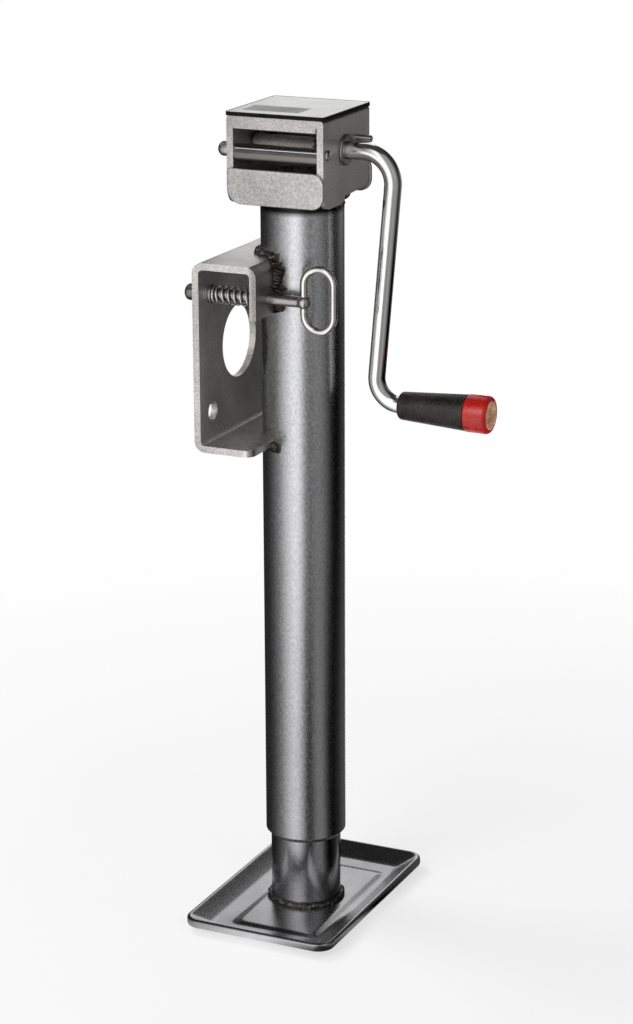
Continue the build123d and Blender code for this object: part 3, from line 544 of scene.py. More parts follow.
def finish(slot):
    """The material of a record slot, made once."""
    found = bpy.data.materials.get(slot)
    if found and found.get("stand_finish"):
        return found
    s = bpy.context.scene.prop_stand
    zinc = tuple(s.zinc_tone)
    warm = (zinc[0] * 1.02, zinc[1], zinc[2] * 0.94)
    drawn = {"spread": 0.03, "stretch": (1, 1, 0.5), "grain": 800.0, "depth": 0.00001, "speck": 0.2}
    rolled = {"speck": 0.3, "grain": 800.0}
    drawn_over = {"spread": 0.08, "stretch": (0.06, 1, 1), "metallic": 0.9}
    streaked = {"spread": 0.15, "stretch": (0.5, 1, 1), "metallic": 0.7, "speck": 0.3}
    # What makes each slot's finish, its tone, its further values in order and those that go by name
    recipes = {
        # The tube's tint darkens it just under the head: a painted shadow.
        "tube_steel": (plated, toned(zinc, 0.86), 0.25, {**drawn, "shade_band": ("Z", 0.5325, 0.5365, 0.04)}),
        "leg_steel": (plated, toned(zinc, 0.70), 0.20, drawn),
        # The foot's walls darken its slopes: painted shade.
        "foot_steel": (plated, toned(zinc, 0.88), 0.26, {"spread": 0.1, "depth": 0.00002, "slope_shade": 0.1}),
        "weld_metal": (welded, (0.095, 0.09, 0.085), {}),
        "head_steel": (plated, warm, 0.4, {**rolled, "metallic": 0.92}),
        # Near black: painted shade under the cover's edge.
        "gasket_rubber": (moulded, (0.008, 0.008, 0.008), 0.8, 0.3, 1400.0, 0.00005, {"shine": 0.12}),
        "cover_steel": (plated, (0.80, 0.805, 0.78), 0.45, {"spread": 0.06, "speck": 0.15, "grain": 800.0}),
        "flap_steel": (plated, toned(warm, 0.93), 0.45, {**rolled, "metallic": 0.92}),
        "bolt_steel": (plated, (0.45, 0.445, 0.43), 0.26, {}),
        "spacer_steel": (plated, (0.20, 0.19, 0.18), 0.2, drawn_over),
        "sleeve_steel": (plated, (0.46, 0.43, 0.40), 0.55, streaked),
        "inlay_grey": (moulded, (0.32, 0.31, 0.295), 0.6, 0.2, 800.0, 0.00003, {}),
        "disc_tan": (moulded, (0.82, 0.39, 0.24), 0.5, 0.5, 700.0, 0.00012, {}),
        "bush_bronze": (plated, (0.20, 0.17, 0.13), 0.4, {}),
        "gear_steel": (plated, (0.30, 0.29, 0.28), 0.32, {"spread": 0.25}),
        "race_steel": (plated, (0.62, 0.62, 0.63), 0.16, {}),
        "cage_brass": (plated, (0.70, 0.52, 0.24), 0.3, {}),
        "screw_steel": (plated, (0.40, 0.39, 0.38), 0.32, {"spread": 0.2}),
        "nut_bronze": (plated, (0.55, 0.40, 0.20), 0.36, {}),
        "crank_chrome": (bright_plated, tuple(s.crank_tone), 0.12, {}),
        "grip_black": (moulded, tuple(s.grip_tone), 0.42, 0.6, 520.0, 0.0006, {"shine": 0.35}),
        "cap_red": (moulded, tuple(s.cap_tone), 0.27, 0.2, 420.0, 0.0001, {"shine": 0.45}),
        # The bracket's tint darkens it beside its tab: painted shade.
        "bracket_steel": (plated, toned(warm, 1.14), 0.38, {**rolled, "shade_band": ("X", -0.0128, -0.0085, 0.5)}),
        "pin_steel": (plated, (0.37, 0.36, 0.35), 0.2, {}),
        "spring_steel": (plated, (0.56, 0.52, 0.51), 0.16, {}),
        "ring_steel": (plated, (0.62, 0.61, 0.59), 0.12, {}),
    }
    make, *values, named = recipes[slot]
    made = make(slot, *values, **named)
    made["stand_finish"] = True
    return made


def paint(slot, *nodes):
    """Gives frame nodes that keep their own shape the finish of their slot."""
    for node in nodes:
        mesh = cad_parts[node].data
        mesh.materials.clear()
        mesh.materials.append(finish(slot))


# Pieces


class PROPSTAND_OT_tubes(bpy.types.Operator):
    """Outer tube with a turned-in lower rim, and the sliding leg inside it"""

    bl_idname = "propstand.tubes"
    bl_label = "Tubes"

    def execute(self, context):
        for name, node, body, slot, wall, rim in (
            ("tube_skin", "outer_tube", "outer", "tube_steel", 3.5, 3.0),
            ("leg_skin", "leg_tube", "leg", "leg_steel", 3.0, 0.5),
        ):
            low, high = corners(node)
            r = high[0]
            foot, top = low[2], high[2]
            points = [(foot, r - wall), (foot, r - rim), (foot + 1.15 * rim, r), (top, r), (top, r - wall)]
            profile = rounded_loop(points, (0.2, 0.8, 1.0, 0.4, 0.2), 4)
            turned(name, (0, 0, 0), Z, profile, body, slot, (node,), around=128, loop=True, sharp=50)
        return {"FINISHED"}


class PROPSTAND_OT_foot(bpy.types.Operator):
    """Pressed foot pan with a raised middle, and the weld round the leg"""

    bl_idname = "propstand.foot"
    bl_label = "Foot"

    def execute(self, context):
        *rim, top = corners("foot_plate")[1]
        pad, step, floor = (12.0, 30.0), (33.0, 64.0), (44.0, 76.9)
        raised = 4.5
        # From the raised middle down its slope, over the floor and the wall to the turned-down lip, and back under
        rings = [
            (pad, 0.0, raised, 6.0, 0),
            (step, -4.6, raised, 4.0, 1),
            (step, -3.2, raised - 0.12, 4.6, 1),
            (step, -2.0, raised - 0.42, 5.2, 1),
            (step, 0.6, 3.32, 5.8, 1),
            (step, 1.8, 3.05, 6.4, 1),
            (step, 3.0, 3.0, 6.6, 1),
            (floor, -2.2, 3.0, 4.5, 0),
            (floor, -0.6, 3.25, 4.8, 0),
            (floor, 1.4, 4.3, 5.4, 0),
            (rim, -4.4, top - 1.6, 9.5, 0),
            (rim, -3.2, top - 0.5, 10.2, 0),
            (rim, -2.2, top, 10.8, 0),
            (rim, -1.0, top - 0.1, 11.4, 0),
            (rim, -0.2, top - 0.9, 11.9, 0),
            (rim, 0.0, top - 2.0, 12.0, 0),
            (rim, 0.0, top - 5.2, 12.0, 0),
            (rim, -0.4, top - 6.2, 11.8, 0),
            (rim, -1.4, top - 6.6, 11.2, 0),
            (rim, -2.4, top - 6.0, 10.4, 0),
            (rim, -2.8, top - 3.4, 10.0, 0),
            (floor, 3.4, 2.4, 5.5, 0),
            (floor, 1.8, 0.8, 4.6, 0),
            (floor, -0.4, 0.1, 4.0, 0),
            (floor, -1.8, 0.0, 3.6, 0),
            (step, 0.8, 0.0, 5.0, 1),
            (step, -1.2, 0.25, 4.4, 1),
            (step, -2.6, 1.5, 4.0, 1),
            (step, -5.0, 1.5, 3.6, 1),
            (pad, 0.0, 1.5, 6.0, 0),
        ]
        outline = rounded_rings(rings, (0, 0, 0), (4.5, -3.5), 9)
        skin("foot_pan", outline, "leg", "foot_steel", ("foot_plate",), sharp=60)
        leg = corners("leg_tube")[1][0]
        angle = np.linspace(0, 2 * math.pi, 240, endpoint=False)
        path = level_arc(leg + 0.6, angle, corners("foot_weld")[0][2] + 0.9)
        ripple = context.scene.prop_stand.weld_ripple * MM
        bead("foot_bead", path, 2.5, ripple, 5, "leg", "weld_metal", ("foot_weld",), True, lump=0.045)
        return {"FINISHED"}


class PROPSTAND_OT_head(bpy.types.Operator):
    """Folded housing, its plate, guard flaps, cover, and the strip under the cover painted near black as shade"""

    bl_idname = "propstand.head"
    bl_label = "Head"

    def execute(self, context):
        s = context.scene.prop_stand
        edge = s.sheet_edge * MM
        softened("housing_shell", "head_housing", 1.8 * edge, "outer", "head_steel")
        softened("plate_shell", "bearing_plate", edge, "outer", "head_steel")
        for name, node in (("front_guard", "front_flap"), ("rear_guard", "rear_flap")):
            low, high = corners(node)
            points = [(low[0], high[2]), (low[0], low[2]), (high[0], low[2]), (high[0], high[2])]
            outline = rounded_loop(points, (1.4, 11.5, 9.0, 8.5), 10)
            sheet(name, outline, X, Z, (0, high[1], 0), high[1] - low[1], 0.7, "outer", "flap_steel", (node,))
        low, high = corners("head_cover")
        mid = (low + high) / 2
        half = ((high - low) / 2)[:2]
        inlay = middle("cover_inlay")
        slot = (corners("cover_inlay")[1] - inlay)[:2] + 0.2
        under = low[2] - high[2]
        # From the seat of the inlay, which has its own centre, over the top and down the sides
        rings = [
            (slot - (7.0, 5.5), 0.0, -0.4, 1.0, 1),
            (slot, -0.4, -0.4, 1.2, 1),
            (slot, 0.0, -0.3, 1.5, 1),
            (slot, 0.4, 0.0, 1.8, 1),
            (slot, 2.5, 0.0, 2.6, 1),
            (half, -0.9, 0.0, 1.6, 0),
            (half, -0.25, -0.1, 1.8, 0),
            (half, 0.0, -0.4, 2.0, 0),
            (half, 0.0, under + 0.1, 2.0, 0),
            (half, -0.4, under, 1.8, 0),
        ]
        outline = rounded_rings(rings, (*mid[:2], high[2]), inlay - mid, 6)
        skin("cover", outline, "outer", "cover_steel", ("head_cover",))
        paint("inlay_grey", "cover_inlay")
        # The strip under the cover is painted near black: painted shade for the shadow gap under the cover's edge.
        paint("gasket_rubber", "cover_gasket")
        r, _, tube_top = corners("outer_tube")[1]
        angle = np.radians(np.linspace(-60, 95, 120))
        for name, turn, seed, nodes in (
            ("head_bead_right", 0.0, 3, ("tube_weld",)),
            ("head_bead_left", math.pi, 4, ()),
        ):
            path = level_arc(r + 0.9, angle + turn, tube_top - 1.6)
            bead(name, path, 2.4, s.weld_ripple * MM, seed, "outer", "weld_metal", nodes)
        blob = np.array(
            [(r + 1.0, -10.0, 540.0), (r + 1.6, -7.5, 539.2), (r + 1.6, -5.0, 539.4), (r + 1.0, -2.0, 541.0)]
        )
        bead("head_spot", rounded_path(blob, (2.0, 2.0)), 2.6, 2.0, 6, "outer", "weld_metal")
        return {"FINISHED"}


class PROPSTAND_OT_tie_bolts(bpy.types.Operator):
    """The two bolts across the head and the sleeves on them"""

    bl_idname = "propstand.tie_bolts"
    bl_label = "Tie bolts"

    def execute(self, context):
        low, high, axis = lying("front_tie_bolt")
        wall = corners("head_housing")[0][0]
        side = corners("head_housing")[1][0]
        big = (high[2] - low[2]) / 2
        head = dome(low[0], 4.5, big)
        points = [head[-1], (wall, big), (wall, 3.0), (side + 0.3, 3.0), (side + 0.3, 3.9)]
        shank = rounded_path(points, (0.5, 0.2, 0.0), 3)
        end = np.linspace(0, math.pi / 2, 9)
        peen = np.stack((side + 0.4 + (high[0] - side - 0.4) * np.sin(end), 3.9 * np.cos(end)), axis=1)
        profile = np.concatenate((head, shank, peen))
        turned("front_bolt", axis, X, profile, "outer", "bolt_steel", ("front_tie_bolt",), 48)
        low, high, (_, y, z) = lying("front_spacer")
        outer = (high[1] - low[1]) / 2
        inner = outer - 1.4
        seam = math.radians(128)
        slit = 0.35 / outer
        angle = np.linspace(seam + slit, seam - slit + 2 * math.pi, 60)
        section = np.concatenate((arc(angle, outer), arc(angle[::-1], inner)))
        around = len(section)
        rings = np.stack(
            [np.concatenate((np.full((around, 1), x), section + (y, z)), axis=1) for x in (low[0], high[0])]
        )
        faces = grid_faces(2, around).tolist()
        for first in (0, around):
            last = first + around - 1
            faces += [[first + j, first + j + 1, last - 1 - j, last - j] for j in range(len(angle) - 1)]
        make_piece("front_sleeve", rings.reshape(-1, 3), faces, "outer", "spacer_steel", ("front_spacer",))
        # Ridge along the sleeve's seam, in a brighter finish than the sleeve: its bright line is a painted
        # highlight.
        lip = (outer - 0.25) * np.array((math.cos(seam + 0.2), math.sin(seam + 0.2))) + (y, z)
        path = [(low[0] + 0.3, *lip), (high[0] - 0.3, *lip)]
        pipe("seam_highlight", path, 0.85, "outer", "race_steel", around=16)
        low, high, axis = lying("rear_tie_bolt")
        profile = rounded_path(
            [(wall, 0.0), (wall, 2.5), (high[0] - 0.2, 2.5), (high[0], 0.0)], (0.0, 0.8), 4
        )
        turned("rear_bolt", axis, X, profile, "outer", "bolt_steel", ("rear_tie_bolt",), 32)
        outline = rounded_loop(arc(np.radians(np.arange(6) * 60.0), 5.0), (0.9,) * 6, 4)
        place = (low[0], *axis[1:])
        sheet("rear_bolt_head", outline, Y, Z, place, wall - low[0], 0.5, "outer", "bolt_steel")
        low, high, axis = lying("rear_spacer")
        profile = sleeve(low[0], high[0], 2.7, (high[1] - low[1]) / 2, (0.2, 0.5, 0.5, 0.2), 3)
        turned("rear_sleeve", axis, X, profile, "outer", "spacer_steel", ("rear_spacer",), 40, loop=True)
        return {"FINISHED"}


class PROPSTAND_OT_drive(bpy.types.Operator):
    """Bevel gears, bushes, thrust bearing, threaded screw and nut"""

    bl_idname = "propstand.drive"
    bl_label = "Drive"

    def execute(self, context):
        paint("gear_steel", "pinion", "screw_wheel")
        paint("bolt_steel", "pinion_pin", "wheel_pin")
        paint("bush_bronze", "right_bush", "left_bush")
        paint("race_steel", "upper_race", "lower_race")
        paint("cage_brass", "ball_cage")
        paint("screw_steel", "screw_stop", "screw")
        paint("nut_bronze", "screw_nut")
        paint("sleeve_steel", "shaft_sleeve")
        s = context.scene.prop_stand
        low = corners("screw")[0]
        lead = s.screw_lead * MM
        start, end = low[2] + 1.0, 531.0
        height = np.linspace(start, end, int((end - start) / lead * 6) + 1)[:, None]
        angle = np.linspace(0, 2 * math.pi, 24, endpoint=False)[None, :]
        phase = (height / lead + angle / (2 * math.pi)) % 1.0
        crest = np.clip((np.abs(phase - 0.5) - 0.12) / 0.14, 0, 1)
        radius = 5.2 + 1.75 * crest
        rings = np.stack(
            (radius * np.cos(angle), radius * np.sin(angle), np.broadcast_to(height, radius.shape)), axis=-1
        )
        skin("screw_thread", rings, "drive_screw", "screw_steel", sharp=70)
        return {"FINISHED"}


class PROPSTAND_OT_crank(bpy.types.Operator):
    """Bent bright crank bar with its washer and clip"""

    bl_idname = "propstand.crank"
    bl_label = "Crank"

    def execute(self, context):
        low, high = corners("crank_rod")
        thick = high[1]
        top = high[2] - thick
        grip = low[2] + thick
        bush = corners("right_bush")[0][0] - 0.2
        steps = 20
        path = rounded_path(
            [(bush, 0, top), (71.9, 0, top), (56.2, 0, grip), (high[0], 0, grip)], (22.0, 18.5), steps
        )
        straight = np.linspace(path[steps + 1], path[steps + 2], 6)[1:-1]
        path = np.concatenate((path[: steps + 2], straight, path[steps + 2 :]))
        path = np.concatenate((path[:1], path[:1] + (0.4, 0, 0), path[1:-1], path[-1:] - (0.6, 0, 0), path[-1:]))
        radius = np.full(len(path), thick)
        radius[[0, -1]] = thick - 0.5
        pipe("crank_bar", path, radius, "crank", "crank_chrome", ("crank_rod",), around=48, sharp=50)
        shaft = rounded_path([(low[0], 0.0), (low[0], 5.0), (bush, 5.0), (bush, 0.0)], (0.6, 0.0), 3)
        turned("crank_shaft", (0, 0, top), X, shaft, "crank", "bolt_steel", around=40)
        low, high = corners("crank_washer")
        profile = sleeve(low[0], high[0], thick, (high[2] - low[2]) / 2, (0.1, 0.3, 1.2, 0.3), 5)
        # The washer takes the darker gear finish instead of the bolt finish: painted shade round the hub.
        turned("hub_ring", (0, 0, top), X, profile, "crank", "gear_steel", ("crank_washer",), 56, loop=True)
        paint("bolt_steel", "shaft_clip", "grip_washer")
        return {"FINISHED"}


class PROPSTAND_OT_grip(bpy.types.Operator):
    """Black tapered grip and its red end cap"""

    bl_idname = "propstand.grip"
    bl_label = "Grip"

    def execute(self, context):
        low, high, axis = lying("grip_sleeve")
        end = (high[2] - low[2]) / 2
        start = 10.0
        bore = 6.55
        profile = rounded_loop(
            [(low[0], bore), (low[0], start), (high[0], end), (high[0], bore)], (0.4, 2.6, 0.5, 0.2), 6
        )
        turned("grip_black_sleeve", axis, X, profile, "grip", "grip_black", ("grip_sleeve",), 64, loop=True)
        low, high = corners("grip_cap")
        r = (high[2] - low[2]) / 2
        # From the bottom of the cup to its open rim, along the outside to the face and into the seat of the disc
        rim, face = low[0], high[0]
        points = [(face - 3.0, 0.0), (face - 3.0, 9.6), (rim, 9.6), (rim, r)]
        points += [(face, r), (face, 10.6), (face - 0.8, 10.6), (face - 0.8, 0.0)]
        profile = rounded_path(points, (0.3, 0.3, 1.2, 2.6, 0.15, 0.0), 6)
        turned("grip_red_cap", axis, X, profile, "grip", "cap_red", ("grip_cap",), 64, sharp=50)
        low, high = corners("cap_disc")
        rim = (high[2] - low[2]) / 2 - 0.05
        profile = rounded_path([(low[0], 0.0), (low[0], rim), (high[0], rim), (high[0], 0.0)], (0.1, 0.5), 4)
        turned("cap_plug", axis, X, profile, "grip", "disc_tan", ("cap_disc",), 64)
        return {"FINISHED"}


class PROPSTAND_OT_bracket(bpy.types.Operator):
    """Bent swivel bracket and the beads that hold it to the tube"""

    bl_idname = "propstand.bracket"
    bl_label = "Bracket"

    def execute(self, context):
        s = context.scene.prop_stand
        softened("bracket_shell", "swivel_bracket", 1.6 * s.sheet_edge * MM, "outer", "bracket_steel")
        low, high = corners("swivel_bracket")
        r = corners("outer_tube")[1][0]
        ripple = s.weld_ripple * MM
        reach = 97.0
        for name, z, lift, seed, nodes in (
            ("bracket_bead_top", high[2], 0.6, 11, ("bracket_weld",)),
            ("bracket_bead_low", low[2], -0.6, 12, ()),
        ):
            angle = np.radians(np.linspace(reach, 360 - reach - 4, 160))
            path = level_arc(r + 0.7, angle, z + lift)
            bead(name, path, 3.3, ripple, seed, "outer", "weld_metal", nodes)
        seam = -math.sqrt((r + 0.4) ** 2 - high[0] ** 2)
        z = np.linspace(465.0, high[2] - 2.0, 60)
        path = np.stack((np.full(60, high[0] + 0.5), np.full(60, seam), z), axis=1)
        bead("bracket_bead_tab", path, 5.0, ripple, 13, "outer", "weld_metal", lump=0.13)
        return {"FINISHED"}


class PROPSTAND_OT_lock_pin(bpy.types.Operator):
    """Sprung lock pin: turned pin, collar and coil spring"""

    bl_idname = "propstand.lock_pin"
    bl_label = "Lock pin"

    def execute(self, context):
        low, high, axis = lying("lock_pin")
        collar_low, collar_high = corners("pin_collar")
        shoulder = collar_low[0]
        nose = 6.0
        rod = 4.0
        eye = 5.0
        eye_x = high[0] - eye
        tip = dome(low[0], 4.0, nose)
        meet = math.asin(rod / eye)
        ball = np.linspace(math.pi - meet, 0, 12)
        eyeball = arc(ball, eye) + (eye_x, 0)
        guide = corners("swivel_bracket")[0][0] - 0.4
        wide = nose + 0.2
        neck = [(guide, nose), (guide, wide), (shoulder, wide), (shoulder, rod), (eyeball[0][0] - 1.5, rod)]
        body = rounded_path([tip[-1], *neck], (0.0, 0.05, 0.4, 0.2), 3)
        profile = np.concatenate((tip, body, eyeball))
        turned("pin_body", axis, X, profile, "lock", "pin_steel", ("lock_pin",), 48, sharp=40)
        outer = (collar_high[2] - collar_low[2]) / 2
        profile = sleeve(shoulder, collar_high[0], 4.1, outer, (0.1, 0.5, 0.5, 0.1), 3)
        turned("pin_ring", axis, X, profile, "lock", "pin_steel", ("pin_collar",), 40, loop=True)
        low, high = corners("pin_spring")
        wire = 1.0
        coils = context.scene.prop_stand.spring_coils
        mean = (high[1] - low[1]) / 2 - wire
        turns = np.linspace(0, coils, coils * 28 + 1)
        closed = np.clip(turns - 0.9, 0, coils - 1.8) / (coils - 1.8)
        travel = high[0] - low[0] - 2 * wire - 1.6 * wire
        x = low[0] + wire + 0.8 * wire * np.clip(turns / 0.9, 0, 1) + travel * closed
        x += 0.8 * wire * np.clip((turns - coils + 0.9) / 0.9, 0, 1)
        angle = 2 * math.pi * turns
        _, y, z = axis
        path = np.stack((x, y + mean * np.cos(angle), z + mean * np.sin(angle)), axis=1)
        coil = pipe("pin_coil", path, wire, "lock", "spring_steel", ("pin_spring",), around=12)
        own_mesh(coil)
        return {"FINISHED"}


class PROPSTAND_OT_pull_ring(bpy.types.Operator):
    """Oval wire pull ring"""

    bl_idname = "propstand.pull_ring"
    bl_label = "Pull ring"

    def execute(self, context):
        low, high = corners("pull_ring")
        wire = (high[1] - low[1]) / 2
        centre = (low + high) / 2
        bend = (high[0] - low[0]) / 2 - wire
        straight = (high[2] - low[2]) / 2 - wire - bend
        upper = arc(np.linspace(0, math.pi, 33), bend) + (0, straight)
        flat = np.concatenate((upper, -upper))
        path = centre + flat[:, :1] * X + flat[:, 1:] * Z
        pipe("pull_wire", path, wire, "ring", "ring_steel", ("pull_ring",), around=20, loop=True)
        return {"FINISHED"}


class PROPSTAND_OT_stage(bpy.types.Operator):
    """Pale floor, cloth for the metal to reflect, lamps, world and camera"""

    bl_idname = "propstand.stage"
    bl_label = "Stage"

    def execute(self, context):
        s = context.scene.prop_stand
        scene = context.scene
        scene.view_settings.view_transform = "Standard"
        add_floor(s)
        add_curtain()
        add_lamp("lamp_key", (-0.55, -2.2, 1.7), (0, 0, 0.35), (1.3, 1.3), s.key_power)
        add_lamp("lamp_fill", (2.2, -1.5, 1.3), (0, 0, 0.3), (1.2, 1.2), s.fill_power)
        add_lamp("lamp_top", (-1.4, 0.1, 1.9), (0, 0, 0.1), (0.9, 0.9), s.top_power)
        add_world()
        add_camera(s)
        return {"FINISHED"}


def stage_object(name, points, faces):
    """A mesh object of the stage, from points in metres."""
    mesh = bpy.data.meshes.new(name)
    mesh.from_pydata(points.tolist(), [], faces)
    return add_object(name, mesh)


def stage_material(thing, name):
    """Gives a stage object a node material that holds only its output."""
    made = bpy.data.materials.new(name)
    thing.data.materials.append(made)
    return made, start_nodes(made)


def any_ray(made, first, *others):
    """1 for rays of any of the named kinds, and 0 for the rest."""
    path = add_node(made, "ShaderNodeLightPath")
    seen = path.outputs[first]
    for kind in others:
        seen = add_node(made, "ShaderNodeMath", {0: seen, 1: path.outputs[kind]}, "MAXIMUM").outputs[0]
    return seen


def mix(made, factor, first, second):
    """Blends from the first shader to the second."""
    inputs = {"Fac": factor, 1: first.outputs[0], 2: second.outputs[0]}
    return add_node(made, "ShaderNodeMixShader", inputs).outputs[0]


def add_floor(s):
    """Wide flat floor under the foot, brighter to camera and glossy rays, which keeps the shadow."""
    steps = np.linspace(-FLOOR_HALF, FLOOR_HALF, 13)
    gx, gy = np.meshgrid(steps, steps, indexing="ij")
    points = np.stack((gx, gy, np.full_like(gx, FLOOR_HEIGHT)), axis=-1).reshape(-1, 3)
    floor = stage_object("floor", points, grid_faces(len(steps), len(steps), wrap=False)[:, ::-1].tolist())
    made, out = stage_material(floor, "floor_paper")
    paper = add_node(made, "ShaderNodeBsdfDiffuse", {"Color": WHITE})
    glow = add_node(made, "ShaderNodeEmission", {"Color": WHITE, "Strength": 1.0})
    place = add_node(made, "ShaderNodeTexCoord")
    away = add_node(made, "ShaderNodeVectorMath", {0: place.outputs["Object"]}, "LENGTH").outputs["Value"]
    far = span(made, away, s.floor_glow, 1.0, *FLOOR_FADE)
    seen = any_ray(made, "Is Camera Ray", "Is Glossy Ray")
    share = add_node(made, "ShaderNodeMath", {0: seen, 1: far}, "MULTIPLY").outputs[0]
    set_inputs(made, out, {"Surface": mix(made, share, paper, glow)})


def from_front(turn, radius, height):
    """Points round the stand by their turn from the front: (radius sin, -radius cos, height)."""
    return np.stack(np.broadcast_arrays(radius * np.sin(turn), -radius * np.cos(turn), height), axis=-1)


def add_curtain():
    """Cloth that only reflections see: on the floor, upright round the stand but open behind, and a round roof."""
    azimuth, *levels = np.array(CLOTH_TONES).T
    radius, height, level = np.array(CLOTH_FOLDS).T
    a = np.linspace(azimuth[0], azimuth[-1], CLOTH_STEPS)
    tone = np.stack([np.interp(a, azimuth, levels[int(k)]) for k in level], axis=1)
    points = from_front(np.radians(a)[:, None], radius, height).reshape(-1, 3)
    roof = from_front(np.linspace(0, 2 * math.pi, 96, endpoint=False), ROOF_RADIUS, ROOF_HEIGHT)
    faces = grid_faces(len(a), len(CLOTH_FOLDS), wrap=False).tolist()
    faces.append(list(range(len(points), len(points) + len(roof))))
    tone = np.concatenate((tone.ravel(), np.full(len(roof), ROOF_TONE)))
    curtain = stage_object("curtain", np.concatenate((points, roof)), faces)
    curtain.data.attributes.new("tone", "FLOAT", "POINT").data.foreach_set("value", tone)
    made, out = stage_material(curtain, "curtain_cloth")
    shade = add_node(made, "ShaderNodeAttribute")
    shade.attribute_name = "tone"
    glow = add_node(made, "ShaderNodeEmission", {"Strength": shade.outputs["Fac"]})
    set_inputs(made, out, {"Surface": glow.outputs[0]})
    curtain.visible_camera = False
    curtain.visible_diffuse = False
    curtain.visible_shadow = False


def add_lamp(name, place, target, size, power):
    """Rectangular soft lamp that faces a target."""
    data = bpy.data.lights.new(name, "AREA")
    data.shape = "RECTANGLE"
    data.size, data.size_y = size
    data.energy = power
    lamp = add_object(name, data)
    lamp.location = place
    lamp.rotation_euler = (Vector(target) - Vector(place)).to_track_quat("-Z", "Y").to_euler()
    return lamp


def add_world():
    """White surroundings to camera and glossy rays, and a dimmer even light on everything else."""
    world = bpy.data.worlds.new("surroundings")
    bpy.context.scene.world = world
    out = start_nodes(world, "ShaderNodeOutputWorld")
    seen = any_ray(world, "Is Camera Ray", "Is Glossy Ray", "Is Transmission Ray")
    dim, white = (
        add_node(world, "ShaderNodeBackground", {"Color": WHITE, "Strength": strength})
        for strength in (DIM_LIGHT, 1.0)
    )
    set_inputs(world, out, {"Surface": mix(world, seen, dim, white)})


def add_camera(s):
    """Camera on a sphere round the stand: azimuth from the front, height angle, distance and a slight roll."""
    azimuth = s.camera_azimuth
    rise = s.camera_rise
    away = Vector(
        (math.sin(azimuth) * math.cos(rise), -math.cos(azimuth) * math.cos(rise), math.sin(rise))
    )
    target = Vector((0, 0, s.camera_target))
    right = Vector((math.cos(azimuth), math.sin(azimuth), 0))
    up = away.cross(right)
    roll = s.camera_roll
    tilted = right * math.cos(roll) + up * math.sin(roll)
    upright = away.cross(tilted)
    data = bpy.data.cameras.new("camera")
    data.sensor_fit = "VERTICAL"
    data.sensor_height = 36.0
    data.lens = s.camera_lens
    data.shift_x = s.camera_shift_x
    data.shift_y = s.camera_shift_y
    data.dof.use_dof = False
    camera = add_object("camera", data)
    turn = Matrix((tilted, upright, away)).transposed()
    camera.matrix_world = Matrix.Translation(target + away * s.camera_distance) @ turn.to_4x4()
    bpy.context.scene.camera = camera


# Settings and panel


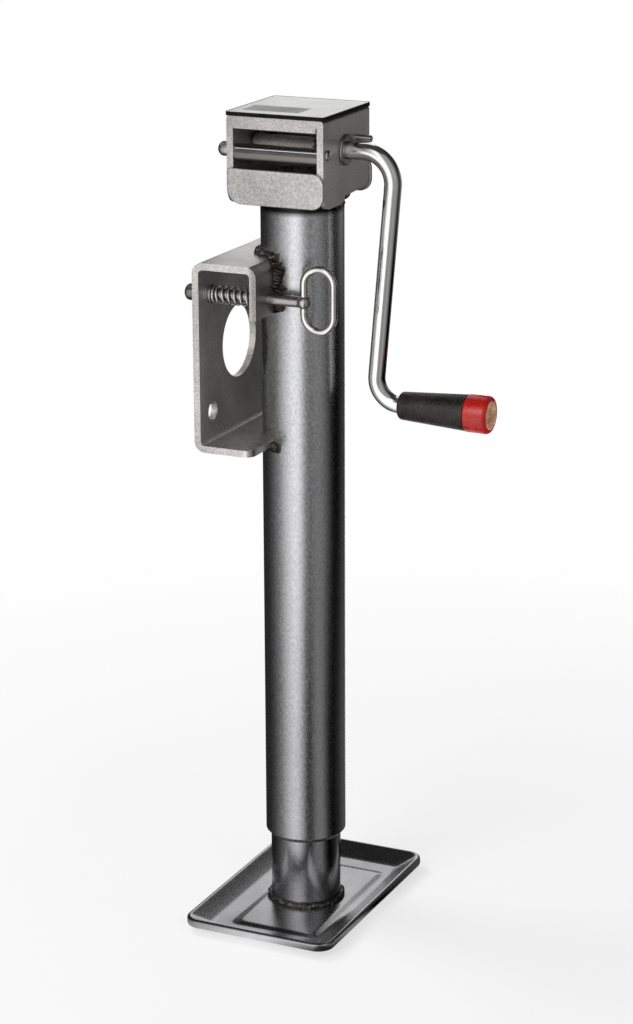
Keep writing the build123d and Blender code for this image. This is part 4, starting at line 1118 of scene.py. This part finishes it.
class PropStandSettings(bpy.types.PropertyGroup):
    """Sizes and colours that a user would change"""

    zinc_tone: FloatVectorProperty(
        name="Zinc", description="Tone of the plated sheet and tubes", subtype="COLOR", size=3,
        default=(0.47, 0.47, 0.48), min=0, max=1,
    )
    crank_tone: FloatVectorProperty(
        name="Crank", description="Tone of the bright crank bar", subtype="COLOR", size=3,
        default=(0.78, 0.78, 0.77), min=0, max=1,
    )
    grip_tone: FloatVectorProperty(
        name="Grip", description="Colour of the grip", subtype="COLOR", size=3,
        default=(0.013, 0.009, 0.0065), min=0, max=1,
    )
    cap_tone: FloatVectorProperty(
        name="Cap", description="Colour of the end cap", subtype="COLOR", size=3,
        default=(0.52, 0.009, 0.007), min=0, max=1,
    )
    sheet_edge: FloatProperty(
        name="Sheet edge", description="Round on the edges of the sheet pieces", default=0.0005, unit="LENGTH"
    )
    weld_ripple: FloatProperty(
        name="Weld ripple", description="Length of one ripple of a weld bead", default=0.0026, unit="LENGTH"
    )
    screw_lead: FloatProperty(
        name="Screw lead", description="Rise of the screw's thread in one turn", default=0.004, unit="LENGTH"
    )
    spring_coils: IntProperty(name="Spring coils", description="Turns of the lock pin's spring", default=9, min=3)
    floor_glow: FloatProperty(
        name="Floor glow", description="Share of the floor that shows plain white", default=0.65, subtype="FACTOR"
    )
    key_power: FloatProperty(name="Key lamp", description="Power of the front lamp", default=26.0, unit="POWER")
    fill_power: FloatProperty(name="Fill lamp", description="Power of the right lamp", default=8.0, unit="POWER")
    top_power: FloatProperty(name="Top lamp", description="Power of the upper lamp", default=16.0, unit="POWER")
    camera_azimuth: FloatProperty(
        name="Azimuth", description="Camera angle round the stand from the front", subtype="ANGLE",
        default=math.radians(25.17),
    )
    camera_rise: FloatProperty(
        name="Rise", description="Camera angle above the floor", subtype="ANGLE", default=math.radians(16.84)
    )
    camera_roll: FloatProperty(
        name="Roll", description="Camera turn about its view", subtype="ANGLE", default=math.radians(-0.33)
    )
    camera_distance: FloatProperty(
        name="Distance", description="Camera distance from its target", default=2.082, unit="LENGTH"
    )
    camera_target: FloatProperty(
        name="Target height", description="Height of the point that the camera faces", default=0.3094,
        unit="LENGTH",
    )
    camera_lens: FloatProperty(name="Lens", description="Focal length", default=99.86, unit="CAMERA")
    camera_shift_x: FloatProperty(name="Shift across", description="Sideways lens shift", default=0.012)
    camera_shift_y: FloatProperty(name="Shift up", description="Upward lens shift", default=-0.001)


PIECES = (
    PROPSTAND_OT_tubes,
    PROPSTAND_OT_foot,
    PROPSTAND_OT_head,
    PROPSTAND_OT_tie_bolts,
    PROPSTAND_OT_drive,
    PROPSTAND_OT_crank,
    PROPSTAND_OT_grip,
    PROPSTAND_OT_bracket,
    PROPSTAND_OT_lock_pin,
    PROPSTAND_OT_pull_ring,
    PROPSTAND_OT_stage,
)


class PROPSTAND_PT_panel(bpy.types.Panel):
    """Lists the settings and the pieces"""

    bl_label = "Prop stand"
    bl_space_type = "VIEW_3D"
    bl_region_type = "UI"
    bl_category = "Prop stand"

    def draw(self, context):
        for name in PropStandSettings.__annotations__:
            self.layout.prop(context.scene.prop_stand, name)
        for piece in PIECES:
            self.layout.operator(piece.bl_idname)


def register():
    for kind in (PropStandSettings, *PIECES, PROPSTAND_PT_panel):
        bpy.utils.register_class(kind)
    bpy.types.Scene.prop_stand = PointerProperty(type=PropStandSettings)


def unregister():
    del bpy.types.Scene.prop_stand
    for kind in (PROPSTAND_PT_panel, *reversed(PIECES), PropStandSettings):
        bpy.utils.unregister_class(kind)


def main():
    register()
    bpy.ops.propstand.tubes()
    bpy.ops.propstand.foot()
    bpy.ops.propstand.head()
    bpy.ops.propstand.tie_bolts()
    bpy.ops.propstand.drive()
    bpy.ops.propstand.crank()
    bpy.ops.propstand.grip()
    bpy.ops.propstand.bracket()
    bpy.ops.propstand.lock_pin()
    bpy.ops.propstand.pull_ring()
    bpy.ops.propstand.stage()
    bpy.context.view_layer.update()


if __name__ == "__main__":
    main()
